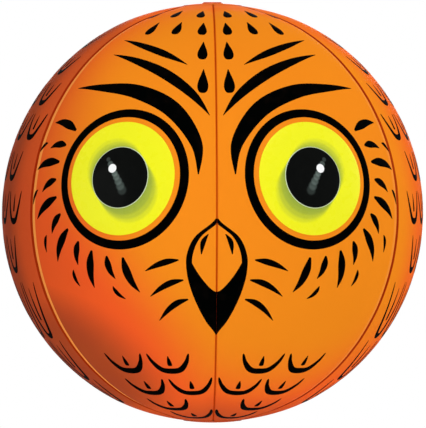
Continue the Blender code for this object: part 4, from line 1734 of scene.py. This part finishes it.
camera_data = bpy.data.cameras.new("camera")
camera = bpy.data.objects.new("camera", camera_data)
bpy.context.scene.collection.objects.link(camera)
bpy.context.scene.camera = camera
camera_data.sensor_fit = "VERTICAL"
camera_data.sensor_height = SENSOR_MM
camera_data.sensor_width = SENSOR_MM
apparent = math.tan(math.asin(BALL_RADIUS / CAMERA_DISTANCE))
camera_data.lens = BALL_PIXELS * SENSOR_MM / (PICTURE_HEIGHT * apparent)
camera_data.clip_start = 0.1
camera_data.clip_end = 100
camera_data.shift_x = PIXELS_LEFT / PICTURE_HEIGHT
camera_data.shift_y = -PIXELS_UP / PICTURE_HEIGHT
stand = facing(CAMERA_BEARING, 0)
camera.location = stand * CAMERA_DISTANCE
camera.rotation_euler = (-stand).to_track_quat("-Z", "Y").to_euler()
print("lens", round(camera_data.lens), "mm at", round(CAMERA_DISTANCE, 2), "m")

# %% [markdown]
# ## Studio
#
# The ball hangs in an even pale room. A large soft lamp stands high in front and a small one low
# in front, and three more fill in from the left, from the right and from behind. The camera sees
# the room as plain white, and so do reflections, while the light that the room sheds stays low,
# so colours come out about as they are written. One bright lamp would be simpler, but it would
# leave the underside dark.

# %% Light the ball
ROOM_LIGHT = 0.52
ROOM_WHITE = (1, 1, 1, 1)
# Each lamp: name, direction from the ball, distance, size and power.
LAMPS = (
    ("soft_key", (0.08, -0.62, 0.78), 3.0, 2.2, 29),
    ("low_key", (0.06, -0.96, -0.22), 2.8, 0.7, 13),
    ("left_fill", (-0.9, -0.5, 0.12), 3.0, 1.6, 6),
    ("right_fill", (1.0, 0.4, 0.3), 3.0, 1.8, 26),
    ("back_fill", (0.1, 1.0, 0.3), 3.0, 2.2, 30),
)

world = bpy.data.worlds.new("room")
bpy.context.scene.world = world
world.use_nodes = True
room = Wiring(world.node_tree)
room.tree.nodes.clear()
light = room.node("Background", {"Color": ROOM_WHITE, "Strength": ROOM_LIGHT})
white = room.node("Background", {"Color": ROOM_WHITE, "Strength": 1.0})
walls = room.node("MixShader", {0: room.seen(), 1: light.outputs[0], 2: white.outputs[0]})
room.node("OutputWorld", {0: walls.outputs[0]})
print("room light", ROOM_LIGHT)

for name, direction, distance, size, power in LAMPS:
    data = bpy.data.lights.new(name, "AREA")
    data.shape = "DISK"
    data.size = size
    data.energy = power
    lamp = bpy.data.objects.new(name, data)
    bpy.context.scene.collection.objects.link(lamp)
    aim = Vector(direction).normalized()
    lamp.location = aim * distance
    lamp.rotation_euler = (-aim).to_track_quat("-Z", "Y").to_euler()
    print("lamp", name, power, "W")

# %% [markdown]
# The floor lies 0.8 m under the ball and runs far past it. The camera sees it a little paler
# than it is lit, and sees through it from below, so that the valve can be looked at.

# %% Lay the floor
FLOOR_DROP = 1.1
FLOOR_HALF = 9
FLOOR_CELLS = 4
FLOOR_GLOW_SHARE = 0.8
FLOOR_GREY = (0.88, 0.88, 0.87)
FLOOR_PALE = (0.9, 0.9, 0.89)

pale = Finish("pale_floor", Roughness=0.8, Specular_IOR_Level=0.1)
mottle = pale.wander(pale.speckle(pale.place(), scale=3), start=0.0, end=1.0)
pale.feed("Base Color", pale.blend(mottle, FLOOR_GREY, FLOOR_PALE))
glow = pale.node("Emission", {"Color": ROOM_WHITE, "Strength": 1.0})
shared = pale.together(pale.seen(), FLOOR_GLOW_SHARE)
paler = pale.node("MixShader", {0: shared, 1: pale.shader.outputs[0], 2: glow.outputs[0]})
backfacing = pale.node("NewGeometry").outputs["Backfacing"]
clear = pale.node("BsdfTransparent")
under = pale.node("MixShader", {0: backfacing, 1: paler.outputs[0], 2: clear.outputs[0]})
pale.give(pale.tree.nodes["Material Output"].inputs["Surface"], under.outputs[0])

ground = bmesh.new()
bmesh.ops.create_grid(ground, x_segments=FLOOR_CELLS, y_segments=FLOOR_CELLS, size=FLOOR_HALF)
make_object("floor", lifted(ground, 0, 0, -FLOOR_DROP), pale)
print("floor", FLOOR_DROP, "m below the ball's centre")

# %% [markdown]
# ## View transform
#
# The view transform stays plain, so colours render as written.

# %% Set the view transform
bpy.context.scene.view_settings.view_transform = "Standard"
